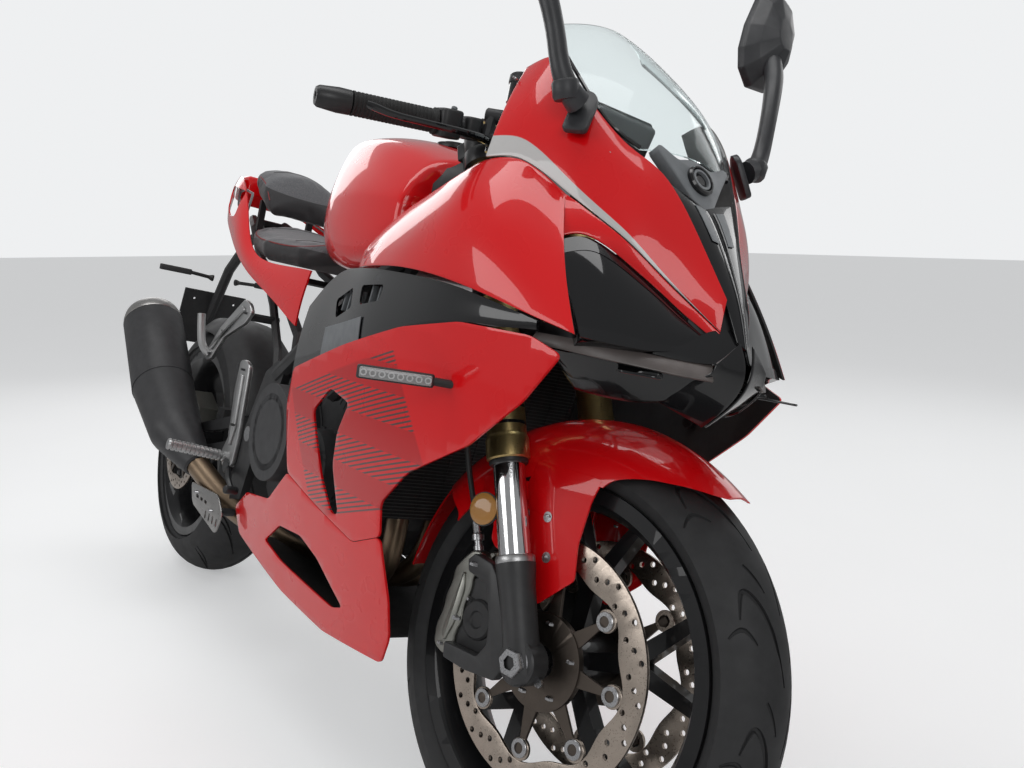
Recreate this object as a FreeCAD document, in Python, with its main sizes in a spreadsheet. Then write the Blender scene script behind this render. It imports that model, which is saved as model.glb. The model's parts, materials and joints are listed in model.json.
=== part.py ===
import FreeCAD, Part
import math
import os
import re

import Sketcher
from FreeCAD import Placement, Rotation, Vector

# Sport bike leaning on its side stand, in millimetres.
# Every piece is drawn in the upright bike's frame: x forward from the rear axle, y to the rider's left,
# z up from the ground. The parked pose then leans it, and the steering pose turns the front end.

doc = FreeCAD.newDocument("SportBike")

# Driving sizes

SIZES = (
    ("WheelBase", 1420),
    ("RakeAngle", 24.5),
    ("ForkOffset", 30),
    ("LeanAngle", 13),
    ("SteerAngle", 11),
    ("FrontTyreRadius", 300),
    ("FrontCrownRadius", 60),
    ("RearTyreRadius", 315),
    ("RearCrownRadius", 88),
    ("RimSeatRadius", 218),
    ("RimFlangeHeight", 14),
    ("RimFlangeThickness", 7),
    ("RimWall", 6),
    ("FrontRimWidth", 89),
    ("RearRimWidth", 140),
    ("SpokeCount", 5),
    ("SpokeThickness", 24),
    ("HubRadius", 34),
    ("FrontHubLength", 120),
    ("RearHubLength", 214),
    ("AxleRadius", 12.5),
    ("AxleBore", 9),
    ("FitClearance", 0.05),
    ("DiscRadius", 160),
    ("DiscThickness", 5),
    ("DiscOffset", 65),
    ("BobbinCircle", 113),
    ("BobbinRadius", 8),
    ("BobbinLength", 9),
    ("BobbinCount", 8),
    ("CarrierRadius", 62),
    ("RearDiscRadius", 120),
    ("RearDiscOffset", 100),
    ("SprocketRadius", 102),
    ("SprocketOffset", 104),
    ("SprocketThickness", 6),
    ("FrontSprocketRadius", 38),
    ("ChainHeight", 16),
    ("ChainWidth", 18),
    ("ForkSpread", 210),
    ("StanchionRadius", 21.5),
    ("OuterTubeRadius", 27),
    ("OuterTubeBottom", 258),
    ("ForkLength", 764),
    ("BottomRingHeight", 128),
    ("LowerYokeHeight", 492),
    ("LowerYokeThickness", 36),
    ("UpperYokeHeight", 700),
    ("UpperYokeThickness", 22),
    ("StemRadius", 17),
    ("HeadTubeRadius", 32),
    ("BarRadius", 11),
    ("GripRadius", 16.5),
    ("BarEndRadius", 17),
    ("CaliperWidth", 56),
    ("PadGap", 5.2),
    ("PivotForward", 560),
    ("PivotHeight", 430),
    ("PivotRadius", 15),
    ("SwingarmWidth", 250),
    ("PanelWall", 3.5),
    ("StandPivotForward", 540),
    ("StandPivotHeight", 300),
    ("StandPivotSide", 175),
    ("StandFootForward", 600),
    ("StandFootSide", 262),
    ("StandPinRadius", 6),
    ("PlateTilt", 14),
    ("PlateHoleSpacing", 110),
    ("PlateHoleRadius", 3.25),
    ("SpoolHoleRadius", 4),
    ("CapRadius", 36),
    ("OriginForward", 702),
    ("OriginSide", 205),
)

sheet = doc.addObject("Spreadsheet::Sheet", "Sizes")
for row, (alias, value) in enumerate(SIZES, start=1):
    sheet.set(f"A{row}", alias)
    sheet.set(f"B{row}", str(value))
    sheet.setAlias(f"B{row}", alias)
doc.recompute()

nodes = {}


def formula(text):
    """The value of a formula in the sheet's names."""
    return float(sheet.evalExpression(str(text)))


def direction(angle):
    """Unit vector at an angle above the x axis, in the xz plane."""
    return Vector(math.cos(math.radians(angle)), 0, math.sin(math.radians(angle)))


# Poses

FRONT_AXLE = Vector(sheet.WheelBase, 0, sheet.FrontTyreRadius)
REAR_AXLE = Vector(0, 0, sheet.RearTyreRadius)
STEER_UP = direction(90 + sheet.RakeAngle)
STEER_BASE = FRONT_AXLE - direction(sheet.RakeAngle) * sheet.ForkOffset


def turned(base, axis, angle):
    """Placement that turns by an angle about a line."""
    return Placement(Vector(), Rotation(axis, angle), base)


steer = turned(STEER_BASE, STEER_UP, sheet.SteerAngle)
lean = turned(Vector(), Vector(1, 0, 0), -sheet.LeanAngle)


def lowest(pose, axle, radius, crown):
    """Height of a tyre's lowest point in a pose."""
    centre = pose.multVec(axle)
    side = pose.Rotation.multVec(Vector(0, 1, 0))
    return centre.z - (radius - crown) * math.sqrt(1 - side.z**2) - crown


def parked_pose():
    """The lean, pitched and lifted so that both tyres touch the ground."""
    pose = lean
    for _ in range(6):
        rear = lowest(pose, REAR_AXLE, sheet.RearTyreRadius, sheet.RearCrownRadius)
        front = lowest(pose.multiply(steer), FRONT_AXLE, sheet.FrontTyreRadius, sheet.FrontCrownRadius)
        pitch = math.degrees(math.atan2(front - rear, sheet.WheelBase))
        level = Placement(Vector(0, 0, -rear), Rotation(Vector(0, 1, 0), pitch))
        pose = level.multiply(pose)
    return Placement(Vector(-sheet.OriginForward, -sheet.OriginSide, 0), Rotation()).multiply(pose)


BIKE = parked_pose()
FRONT = BIKE.multiply(steer)
FORK = Placement(FRONT_AXLE, Rotation(Vector(0, 1, 0), -sheet.RakeAngle))
FORK_LEGS = (sheet.ForkSpread / 2, -sheet.ForkSpread / 2)


# Shapes made with Part

def mirrored(shape):
    return shape.mirror(Vector(), Vector(0, 1, 0))


def both(*shapes):
    """The shapes and their mirror images."""
    return list(shapes) + [mirrored(shape) for shape in shapes]


def prism(points, low, high):
    """Side-view outline, as (x, z) corners, pushed out from y low to y high."""
    wire = Part.makePolygon([Vector(x, low, z) for x, z in points + points[:1]])
    return Part.Face(wire).extrude(Vector(0, high - low, 0))


def plate(points, low, high):
    """Plan outline, as (x, y) corners, between two heights."""
    wire = Part.makePolygon([Vector(x, y, low) for x, y in points + points[:1]])
    return Part.Face(wire).extrude(Vector(0, 0, high - low))


def rod(start, end, radius):
    along = end - start
    return Part.makeCylinder(radius, along.Length, start, along)


def cone(start, end, first, last):
    along = end - start
    return Part.makeCone(first, last, along.Length, start, along)


def round_y(x, z, low, high, radius):
    """Cylinder along y."""
    return Part.makeCylinder(radius, high - low, Vector(x, low, z), Vector(0, 1, 0))


def block(low, high):
    low, high = Vector(low), Vector(high)
    return Part.makeBox(high.x - low.x, high.y - low.y, high.z - low.z, low)


def crest(start, end, bulge, outward):
    """Middle of a rib from start to end that stands out by bulge towards outward."""
    along = (end - start).normalize()
    out = outward - along * outward.dot(along)
    return (start + end) * 0.5 + out.normalize() * bulge


def arc_through(start, end, bulge, outward):
    return Part.Arc(start, crest(start, end, bulge, outward), end).toShape()


def skin(ribs, outward, wall):
    """Thin panel: a surface through creased ribs, given as (low end, high end, bulge), pushed in by wall."""
    wires = []
    for low, high, bulge in ribs:
        low, high = Vector(low), Vector(high)
        wires.append(Part.makePolygon([low, crest(low, high, bulge, outward), high]))
    surface = Part.makeLoft(wires, False, True)
    inward = Vector(outward).normalize() * -wall
    strips = [face.extrude(inward) for face in surface.Faces]
    return strips[0].multiFuse(strips[1:]) if strips[1:] else strips[0]


def pipe(points, radius):
    """Hose along straight runs joined by tangent arcs."""
    corners = [Vector(point) for point in points]
    edges = []
    radii = []
    last = corners[0]
    for before, corner, after in zip(corners, corners[1:], corners[2:]):
        back = before - corner
        ahead = after - corner
        half = back.getAngle(ahead) / 2
        cut = 0.45 * min(back.Length, ahead.Length)
        first = corner + Vector(back).normalize() * cut
        second = corner + Vector(ahead).normalize() * cut
        inward = (Vector(back).normalize() + Vector(ahead).normalize()).normalize()
        sweep_radius = cut * math.tan(half)
        radii.append(round(sweep_radius))
        middle = corner + inward * (sweep_radius / math.sin(half) - sweep_radius)
        edges.append(Part.makeLine(last, first))
        edges.append(Part.Arc(first, middle, second).toShape())
        last = second
    edges.append(Part.makeLine(last, corners[-1]))
    ring = ring_of(corners[0], (corners[1] - corners[0]).normalize(), radius, 6)
    section = Part.makePolygon(ring + ring[:1])
    print("hose radii", *radii)
    return Part.Wire(edges).makePipeShell([section], True, False)


def ring_of(centre, way, radius, sides):
    """Corners of a flat-sided ring round a centre, square to a direction."""
    side = way.cross(Vector(0, 0, 1)).normalize() * radius
    return [centre + Rotation(way, 360 / sides * (step + 0.5)).multVec(side) for step in range(sides)]


def bar(points, radius, sides=8):
    """Flat-sided tube of straight runs with mitred joints."""
    corners = [Vector(point) for point in points]
    ways = [(after - before).normalize() for before, after in zip(corners, corners[1:])]
    ring = ring_of(corners[0], ways[0], radius, sides)
    faces = [Part.Face(Part.makePolygon(ring + ring[:1]))]
    for way, after, end in zip(ways, ways[1:] + ways[-1:], corners[1:]):
        mitre = (way + after).normalize()
        cut = [corner + way * ((end - corner).dot(mitre) / way.dot(mitre)) for corner in ring]
        for a, b, c, d in zip(ring, ring[1:] + ring[:1], cut[1:] + cut[:1], cut):
            faces.append(Part.Face(Part.makePolygon([a, b, c, d, a])))
        ring = cut
    faces.append(Part.Face(Part.makePolygon(ring + ring[:1])))
    solid = Part.Solid(Part.Shell(faces))
    if solid.Volume < 0:
        solid.reverse()
    return solid


def horn(table, sides=12):
    """Tapering shell of flat-sided rings: (centre, direction, radius) for each ring."""
    rings = [ring_of(centre, way, radius, sides) for centre, way, radius in table]
    return Part.makeLoft([Part.makePolygon(ring + ring[:1]) for ring in rings], True, True)


def add(label, shapes, pose):
    """A sub-part made of one or more solids."""
    piece = doc.addObject("Part::Feature", label)
    piece.Label = label
    piece.Shape = Part.makeCompound(shapes)
    piece.Placement = pose
    nodes[label] = piece
    return piece


# Panel ribs: low end, high end, bulge of the middle

SIDE_RIBS = (
    ((560, 150, 180), (560, 196, 740), 10),
    ((850, 160, 180), (850, 236, 740), 12),
    ((1100, 156, 180), (1100, 250, 740), 12),
    ((1320, 136, 180), (1320, 238, 740), 10),
    ((1540, 120, 180), (1540, 200, 740), 8),
)
TAIL_RIBS = (
    ((660, 150, 660), (690, 148, 764), 4),
    ((560, 158, 700), (560, 150, 767), 4),
    ((420, 164, 740), (420, 158, 773), 4),
    ((280, 158, 800), (266, 140, 905), 8),
    ((130, 136, 868), (130, 118, 975), 8),
    ((-40, 74, 940), (-40, 66, 990), 4),
)
REAR_RIBS = (
    ((985, 196, 771), (985, 190, 800), 0.5),
    ((1085, 222, 772), (1080, 186, 862), 6),
    ((1172, 236, 772), (1176, 190, 892), 10),
    ((1290, 240, 764), (1292, 197, 925), 14),
    ((1400, 226, 746), (1345, 182, 926), 16),
    ((1465, 210, 731), (1385, 166, 908), 12),
    ((1524, 188, 718), (1416, 154, 886), 8),
)
REAR_OUT = Vector(0.15, 1, 0)
UPPER_RIBS = (
    ((1292, 198, 927), (1278, 152, 1060), 6),
    ((1347, 182, 928), (1330, 147, 1072), 8),
    ((1417, 154, 888), (1392, 134, 1016), 9),
    ((1451, 137, 868), (1438, 106, 966), 7),
    ((1501, 106, 835), (1478, 66, 936), 5),
    ((1545, 54, 787), (1534, 42, 862), 2),
    ((1585, 24, 754), (1580, 22, 790), 0.5),
)
UPPER_OUT = Vector(0.5, 0.8, 0.5)


def outside(ribs, outward):
    """All that lies in or beyond a panel, for ending a stay on its inner face."""
    return skin(ribs, outward, sheet.PanelWall).fuse(skin(ribs, outward, -90))


# Bodies made with PartDesign

def new_body(label):
    body = doc.addObject("PartDesign::Body", label)
    body.Label = label
    return body


def keep(label, piece, pose):
    """Names a finished sub-part and sets it in its pose."""
    piece.Label = label
    piece.Placement = pose
    nodes[label] = piece


def group(label, pieces, pose):
    """A sub-part of several like pieces."""
    compound = doc.addObject("Part::Compound", label)
    compound.Links = pieces
    keep(label, compound, pose)
    return compound


def moved(piece, place):
    """The piece set in its place beside its fellows."""
    piece.Placement = place
    return piece


def mirror_of(piece):
    """The piece's mirror image across the bike's middle."""
    image = doc.addObject("Part::Mirroring", f"{piece.Name}Image")
    image.Source = piece
    image.Normal = Vector(0, 1, 0)
    return image


def cylinder(name, radius, height, place):
    """Bound cylinder; place turns its z axis to where it points."""
    piece = doc.addObject("Part::Cylinder", name)
    piece.setExpression("Radius", bound(radius))
    piece.setExpression("Height", bound(height))
    piece.Placement = place
    return piece


def origin_part(body, role):
    return next(part for part in body.Origin.OriginFeatures if part.Role == role)


def pin_down(sketch, index, point, across, up):
    """Ties one end of a line to two formulas."""
    for kind, axis, text in (("DistanceX", -2, across), ("DistanceY", -1, up)):
        value = formula(text)
        if abs(value) < 1e-9:
            sketch.addConstraint(Sketcher.Constraint("PointOnObject", index, point, axis))
            continue
        number = sketch.addConstraint(Sketcher.Constraint(kind, -1, 1, index, point, value))
        sketch.setExpression(f"Constraints[{number}]", bound(text))


def bound(text):
    """The formula with each of the sheet's names, which start with a capital, made to point at the sheet."""
    return re.sub(r"[A-Z]\w+", lambda name: f"Sizes.{name.group()}", str(text))


def outline(body, name, role, corners):
    """Closed sketch of straight edges through (across, up) corners."""
    sketch = body.newObject("Sketcher::SketchObject", name)
    sketch.AttachmentSupport = (origin_part(body, role), [""])
    sketch.MapMode = "FlatFace"
    spots = [Vector(formula(across), formula(up), 0) for across, up in corners]
    for here, there in zip(spots, spots[1:] + spots[:1]):
        sketch.addGeometry(Part.LineSegment(here, there), False)
    for index, (across, up) in enumerate(corners):
        sketch.addConstraint(Sketcher.Constraint("Coincident", index, 2, (index + 1) % len(corners), 1))
        pin_down(sketch, index, 1, across, up)
    return sketch


def revolve(body, name, sketch):
    """Full turn of a profile about its own vertical axis."""
    feature = body.newObject("PartDesign::Revolution", name)
    feature.Profile = sketch
    feature.ReferenceAxis = (sketch, ["V_Axis"])
    feature.Angle = 360
    return feature


def pad(body, name, sketch, length):
    """Pushes a sketch out, half each way."""
    feature = body.newObject("PartDesign::Pad", name)
    feature.Profile = sketch
    feature.SideType = "Symmetric"
    feature.setExpression("Length", bound(length))
    return feature


def around(body, name, features, count):
    """Repeats features about the y axis."""
    pattern = body.newObject("PartDesign::PolarPattern", name)
    pattern.Originals = features
    pattern.Axis = (origin_part(body, "Y_Axis"), [""])
    pattern.Angle = 360
    pattern.setExpression("Occurrences", bound(count))
    body.Tip = pattern
    return pattern


# Wheels, drawn about their own axle

def tyre(label, pose, radius, crown, rim_width):
    """Closed ring: crown with an edge where it meets the ground, side walls, beads inside the flanges."""
    body = new_body(label)
    bead = f"({rim_width} / 2 - 0.3)"
    flange = "RimSeatRadius + RimFlangeHeight"
    touch = math.degrees(math.asin(abs(pose.Rotation.multVec(Vector(0, 1, 0)).z)))
    shoulder = 75
    between = (touch + shoulder) / 2
    around_crown = []
    for angle in (-shoulder, -between, -touch, touch, between, shoulder):
        around_crown.append((f"{radius} - {crown} + {crown} * cos({angle})", f"{crown} * sin({angle})"))
    profile = [
        ("RimSeatRadius + 0.7", f"-{bead}"),
        (f"{flange} + 1", f"-{bead}"),
        (f"{flange} + 5", f"-{bead} - 9"),
        *around_crown,
        (f"{flange} + 5", f"{bead} + 9"),
        (f"{flange} + 1", bead),
        ("RimSeatRadius + 0.7", bead),
    ]
    revolve(body, f"{label}Turn", outline(body, f"{label}Profile", "XY_Plane", profile))
    keep(label, body, pose)


def rim(label, pose, rim_width, hub_length):
    """Cast wheel: barrel, hub and Y spokes repeated about the axle."""
    body = new_body(label)
    half = f"{rim_width} / 2"
    lip = f"{half} + RimFlangeThickness"
    flange = "RimSeatRadius + RimFlangeHeight"
    inner = "RimSeatRadius - 14 - RimWall"
    barrel = [
        (flange, f"-({lip})"),
        (flange, f"-{half}"),
        ("RimSeatRadius", f"-{half}"),
        ("RimSeatRadius - 14", f"-{half} + 22"),
        ("RimSeatRadius - 14", f"{half} - 22"),
        ("RimSeatRadius", half),
        (flange, half),
        (flange, lip),
        ("RimSeatRadius - 5", lip),
        (inner, f"{half} - 18"),
        (inner, f"-{half} + 18"),
        ("RimSeatRadius - 5", f"-({lip})"),
    ]
    revolve(body, f"{label}Barrel", outline(body, f"{label}BarrelProfile", "XY_Plane", barrel))
    hub = [
        ("AxleRadius + FitClearance", f"-{hub_length} / 2"),
        ("HubRadius", f"-{hub_length} / 2"),
        ("HubRadius", f"{hub_length} / 2"),
        ("AxleRadius + FitClearance", f"{hub_length} / 2"),
    ]
    reach = f"({inner} + 2)"
    spoke = [
        ("-11", "HubRadius - 4"),
        ("11", "HubRadius - 4"),
        ("13", "HubRadius + 58"),
        (f"{reach} * sin(18)", f"{reach} * cos(18)"),
        (f"{reach} * sin(13)", f"{reach} * cos(13)"),
        ("0", "HubRadius + 84"),
        (f"-{reach} * sin(13)", f"{reach} * cos(13)"),
        (f"-{reach} * sin(18)", f"{reach} * cos(18)"),
        ("-13", "HubRadius + 58"),
    ]
    arm_sketch = outline(body, f"{label}SpokeShape", "XZ_Plane", spoke)
    arm = pad(body, f"{label}Spoke", arm_sketch, "SpokeThickness")
    around(body, f"{label}Spokes", [arm], "SpokeCount")
    revolve(body, f"{label}Hub", outline(body, f"{label}HubProfile", "XY_Plane", hub))
    body.Tip = body.Group[-1]
    keep(label, body, pose)


def disc_carrier(label):
    """Star that carries a rotor: a ring bolted to the hub, arms and floating bobbins."""
    body = new_body(label)
    ring = [
        ("AxleRadius + 8", "-5"),
        ("CarrierRadius", "-5"),
        ("CarrierRadius", "5"),
        ("AxleRadius + 8", "5"),
    ]
    revolve(body, f"{label}Ring", outline(body, f"{label}RingProfile", "XY_Plane", ring))
    arm_shape = [
        ("-11", "CarrierRadius - 3"),
        ("11", "CarrierRadius - 3"),
        ("5", "BobbinCircle - BobbinRadius - 7"),
        ("5", "BobbinCircle"),
        ("-5", "BobbinCircle"),
        ("-5", "BobbinCircle - BobbinRadius - 7"),
    ]
    arm = pad(body, f"{label}Arm", outline(body, f"{label}ArmShape", "XZ_Plane", arm_shape), "4")
    bobbin_shape = []
    for step in range(6):
        turn = 60 * step
        bobbin_shape.append((f"BobbinRadius * cos({turn})", f"BobbinCircle + BobbinRadius * sin({turn})"))
    bobbin_sketch = outline(body, f"{label}BobbinShape", "XZ_Plane", bobbin_shape)
    bobbin = pad(body, f"{label}Bobbin", bobbin_sketch, "BobbinLength")
    around(body, f"{label}Arms", [arm, bobbin], "BobbinCount")
    return body


def plain_ring(label, inner, outer, thickness):
    """Flat ring about the axle."""
    body = new_body(label)
    profile = [
        (inner, f"-{thickness} / 2"),
        (outer, f"-{thickness} / 2"),
        (outer, f"{thickness} / 2"),
        (inner, f"{thickness} / 2"),
    ]
    revolve(body, f"{label}Turn", outline(body, f"{label}Profile", "XY_Plane", profile))
    return body


def hollow_axle(label, length, pose):
    """Axle tube with an open bore."""
    across = Placement(Vector(0, -formula(length) / 2, 0), Rotation(Vector(1, 0, 0), -90))
    outer = cylinder(f"{label}Outer", "AxleRadius", length, across)
    bore = cylinder(f"{label}Bore", "AxleBore", length, across)
    cut = doc.addObject("Part::Cut", label)
    cut.Base = outer
    cut.Tool = bore
    keep(label, cut, pose)


def aside(offset):
    return Placement(Vector(0, offset, 0), Rotation())


def front_wheel():
    pose = FRONT.multiply(Placement(FRONT_AXLE, Rotation()))
    tyre("front_tyre", pose, "FrontTyreRadius", "FrontCrownRadius", "FrontRimWidth")
    rim("front_rim", pose, "FrontRimWidth", "FrontHubLength")
    ring = plain_ring("FrontDisc", "BobbinCircle + BobbinRadius", "DiscRadius", "DiscThickness")
    disc = moved(ring, aside(sheet.DiscOffset))
    group("front_discs", [disc, mirror_of(disc)], pose)
    carrier = moved(disc_carrier("FrontCarrier"), aside(sheet.DiscOffset))
    group("disc_carriers", [carrier, mirror_of(carrier)], pose)


def rear_wheel():
    pose = BIKE.multiply(Placement(REAR_AXLE, Rotation()))
    tyre("rear_tyre", pose, "RearTyreRadius", "RearCrownRadius", "RearRimWidth")
    rim("rear_rim", pose, "RearRimWidth", "RearHubLength")
    bore = "HubRadius + FitClearance"
    ring = plain_ring("RearDisc", bore, "RearDiscRadius", "DiscThickness")
    disc = moved(ring, aside(-sheet.RearDiscOffset))
    teeth = plain_ring("Sprocket", bore, "SprocketRadius", "SprocketThickness")
    sprocket = moved(teeth, aside(sheet.SprocketOffset))
    group("rear_disc_and_sprocket", [disc, sprocket], pose)


# Front fork, drawn up the leg from the axle; x points ahead of the leg

def leg(height, side, ahead=0):
    """A point on a fork leg in the bike's frame."""
    return FORK.multVec(Vector(ahead, side, height))


def fork():
    bottoms = []
    stanchions = []
    tubes = []
    ring = sheet.BottomRingHeight
    low_end = sheet.OuterTubeBottom
    for side in FORK_LEGS:
        out = math.copysign(1, side)
        shank = bar([leg(-22, side), leg(ring - 14, side)], 24)
        collar = rod(leg(ring - 14, side), leg(ring, side), 27)
        low, high = sorted((side - 17 * out, side + 13 * out))
        boss = round_y(FRONT_AXLE.x, FRONT_AXLE.z, low, high, 29)
        face = sheet.DiscOffset + sheet.CaliperWidth / 2 + 0.3
        low, high = sorted((face * out, side))
        lug_shape = [(1286, 300), (1385, 258), (1398, 290), (1372, 345), (1345, 392), (1290, 404)]
        lug = prism(lug_shape, low, high)
        bottom = shank.fuse([collar, boss, lug])
        bottom = bottom.cut(round_y(FRONT_AXLE.x, FRONT_AXLE.z, side - 40, side + 40, sheet.AxleRadius))
        bottoms.append(bottom)
        stanchions.append(rod(leg(ring, side), leg(low_end, side), sheet.StanchionRadius))
        seal = rod(leg(low_end, side), leg(low_end + 34, side), sheet.OuterTubeRadius + 2.5)
        tube = rod(leg(low_end + 34, side), leg(sheet.ForkLength, side), sheet.OuterTubeRadius)
        tubes.append(seal.fuse(tube))
    add("fork_bottoms", bottoms, FRONT)
    add("fork_stanchions", stanchions, FRONT)
    add("fork_outer_tubes", tubes, FRONT)
    hollow_axle("front_axle", "ForkSpread + 36", FRONT.multiply(Placement(FRONT_AXLE, Rotation())))


def yoke(height, thickness, arm):
    """Plate across both legs and the stem, split round each leg."""
    back = arm - 4 + sheet.ForkOffset
    corners = [
        (arm, 40), (arm, 112), (-arm, 128), (-arm, 60), (-back, 30),
        (-back, -30), (-arm, -60), (-arm, -128), (arm, -112), (arm, -40),
    ]
    body = plate(corners, height, height + thickness)
    for side in FORK_LEGS:
        body = body.fuse(Part.makeCylinder(sheet.OuterTubeRadius + 8, thickness, Vector(0, side, height)))
    for side in FORK_LEGS:
        body = body.cut(Part.makeCylinder(sheet.OuterTubeRadius, thickness, Vector(0, side, height)))
    return body


def yokes():
    """Both fork clamps with the steering stem between them."""
    upper = yoke(sheet.UpperYokeHeight, sheet.UpperYokeThickness, 30)
    lower = yoke(sheet.LowerYokeHeight, sheet.LowerYokeThickness, 26)
    low_top = sheet.LowerYokeHeight + sheet.LowerYokeThickness
    foot = Vector(-sheet.ForkOffset, 0, low_top)
    stem = Part.makeCylinder(sheet.StemRadius, sheet.UpperYokeHeight - low_top, foot)
    add("yokes", [upper.fuse([stem, lower])], FRONT.multiply(FORK))


BAR_INNER = Vector(1150, 128, 981)
BAR_OUTER = Vector(1062, 352, 944)
BAR_WAY = (BAR_OUTER - BAR_INNER).normalize()
BAR_LENGTH = 212.7


def on_bar(distance):
    return BAR_INNER + BAR_WAY * distance


def handlebars():
    clamp_low = sheet.UpperYokeHeight + sheet.UpperYokeThickness
    side = sheet.ForkSpread / 2
    clamp = rod(leg(clamp_low, side), leg(clamp_low + 30, side), 34)
    bore = rod(leg(clamp_low, side), leg(clamp_low + 30, side), sheet.OuterTubeRadius)
    tube = rod(on_bar(0), on_bar(BAR_LENGTH), sheet.BarRadius)
    add("handlebars", both(clamp.fuse(tube).cut(bore)), FRONT)
    sleeve = rod(on_bar(92), on_bar(BAR_LENGTH), sheet.GripRadius).cut(tube)
    end = cone(on_bar(BAR_LENGTH + 0.3), on_bar(262), sheet.BarEndRadius, sheet.BarEndRadius - 3)
    add("grips", both(sleeve, end), FRONT)


def hand_controls():
    """Switch housings, levers with their perches, and the brake fluid reservoir."""
    lever_path = [(1188, 158, 952), (1196, 190, 950), (1178, 245, 944), (1150, 300, 938), (1128, 335, 940)]
    tube = rod(on_bar(10), on_bar(95), sheet.BarRadius)
    switch = bar([on_bar(58), on_bar(91.5)], 24).cut(tube)
    perch = bar([on_bar(26), on_bar(50)], 18).fuse(block((1150, 140, 938), (1200, 172, 966))).cut(tube)
    lever = bar(lever_path, 5.5, 6)
    master = bar([(1146, -150, 1000), (1184, -124, 1002)], 11)
    stay = bar([(1178, -128, 998), (1180, -122, 1026)], 6, 6)
    pot = Part.makeCylinder(24, 44, Vector(1180, -120, 1022))
    left = perch.fuse([lever, switch])
    right = mirrored(left)
    foot = bar([(1160, -150, 960), (1158, -148, 1000)], 8, 6)
    add("hand_controls", [left, right.fuse([foot, master, stay, pot]).cut(mirrored(tube))], FRONT)


def caliper_body():
    """Left caliper, slotted for the disc, with its hose boss on top."""
    shape = [(1322, 398), (1284, 412), (1252, 352), (1244, 268), (1284, 256), (1294, 268), (1296, 330)]
    width = sheet.CaliperWidth / 2
    body = prism(shape, sheet.DiscOffset - width, sheet.DiscOffset + width)
    body = body.fuse(bar([leg(150, 80, -87), leg(175.7, 80, -87)], 8, 6))
    slot = sheet.DiscThickness / 2 + sheet.PadGap
    low, high = sheet.DiscOffset - slot, sheet.DiscOffset + slot
    return body.cut(round_y(FRONT_AXLE.x, FRONT_AXLE.z, low, high, sheet.DiscRadius + 5.5))


def front_brakes():
    add("front_calipers", both(caliper_body()), FRONT)
    # up the leg, side, ahead of the leg
    route = (
        (177.2, 80, -87), (216, 92, -80), (262, 118, -62), (315, 138, -42),
        (375, 147, -28), (435, 142, -18), (491.2, 133, -14),
    )
    hose = pipe([leg(up, side, ahead) for up, side, ahead in route], 4)
    add("brake_hoses", both(hose), FRONT)


def front_fender():
    wall = 3
    section = [(322, 0), (314, 34), (296, 60), (262, 72)]
    inner = [(radius - wall, along if along == 0 else along - wall) for radius, along in section]
    ring = section + inner[::-1]
    edge = [Vector(radius, along, 0) for radius, along in ring + ring[:1]]
    face = Part.Face(Part.makePolygon(edge))
    turn = face.revolve(Vector(), Vector(0, -1, 0), 118)
    turn.rotate(Vector(), Vector(0, 1, 0), -56)
    turn.translate(FRONT_AXLE)
    below = prism([(1444, 556), (1640, 556), (1640, 300), (1480, 300), (1452, 470)], -100, 100)
    behind = prism([(1060, 300), (1200, 300), (1215, 460), (1060, 440)], 34, 100)
    half = turn.cut([below, behind])
    wing_shape = [
        (1345, 520), (1345, 556), (1452, 556), (1470, 470),
        (1464, 410), (1410, 366), (1362, 394), (1382, 450),
    ]
    wing = prism(wing_shape, 74.7, 77.7)
    flange = prism([(1345, 520), (1345, 556), (1452, 556), (1456, 530)], 69.5, 77.7)
    half = half.fuse([wing, flange])
    add("front_fender", [half.fuse(mirrored(half))], FRONT)


# Frame, engine and running gear

PLATE_IN = 140
PLATE_OUT = 156
HANGER_IN = 156.3
HANGER_OUT = 166
LOW_TUBE = [(1168, 18, 812), (1110, 46, 742), (1050, 145, 672), (960, 158, 600), (880, 148, 560)]
TAIL_CROSS = [(44, -44, 886), (44, 44, 886)]
DASH = [(1262, 986), (1284, 980), (1312, 1062), (1290, 1070)]


def main_frame():
    head = rod(
        STEER_BASE + STEER_UP * (sheet.LowerYokeHeight + sheet.LowerYokeThickness + 2),
        STEER_BASE + STEER_UP * (sheet.UpperYokeHeight - 2),
        sheet.HeadTubeRadius,
    )
    neck = STEER_BASE + STEER_UP * (sheet.UpperYokeHeight - 60)
    run = [(neck.x - 10, 26, neck.z - 4), (1060, 90, 830), (960, 146, 760), (800, 150, 660), (640, 148, 560)]
    upper = bar(run, 17)
    lower = bar(LOW_TUBE, 15)
    brace = bar([(1040, 118, 812), (1000, 140, 720), (985, 154, 622)], 11, 6)
    pivot_shape = [
        (646, 590), (676, 566), (640, 470), (600, 400), (572, 302),
        (520, 290), (512, 330), (530, 430), (590, 560),
    ]
    pivot = prism(pivot_shape, PLATE_IN, PLATE_OUT)
    pivot_bore = round_y(sheet.PivotForward, sheet.PivotHeight, 120, 160, sheet.PivotRadius)
    side = upper.fuse([lower, brace, pivot]).cut(pivot_bore)
    cross = round_y(618, 566, -PLATE_IN, PLATE_IN, 10)
    dash_stay = bar([(1148, 0, 852), (1232, 0, 905), (1276, 0, 1000)], 9, 6).cut(prism(DASH, -90, 90))
    reach = bar([(1232, 0, 905), (1290, 100, 886), (1316, 250, 868)], 7, 6).cut(outside(REAR_RIBS, REAR_OUT))
    dash_stay = dash_stay.fuse([reach, mirrored(reach)])
    frame = head.fuse([side, mirrored(side), cross, dash_stay])
    stem = rod(
        STEER_BASE + STEER_UP * (sheet.LowerYokeHeight - 40),
        STEER_BASE + STEER_UP * (sheet.UpperYokeHeight + 40),
        sheet.StemRadius + 1,
    )
    add("main_frame", [frame.cut(stem).fuse(stand_bracket())], BIKE)


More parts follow.
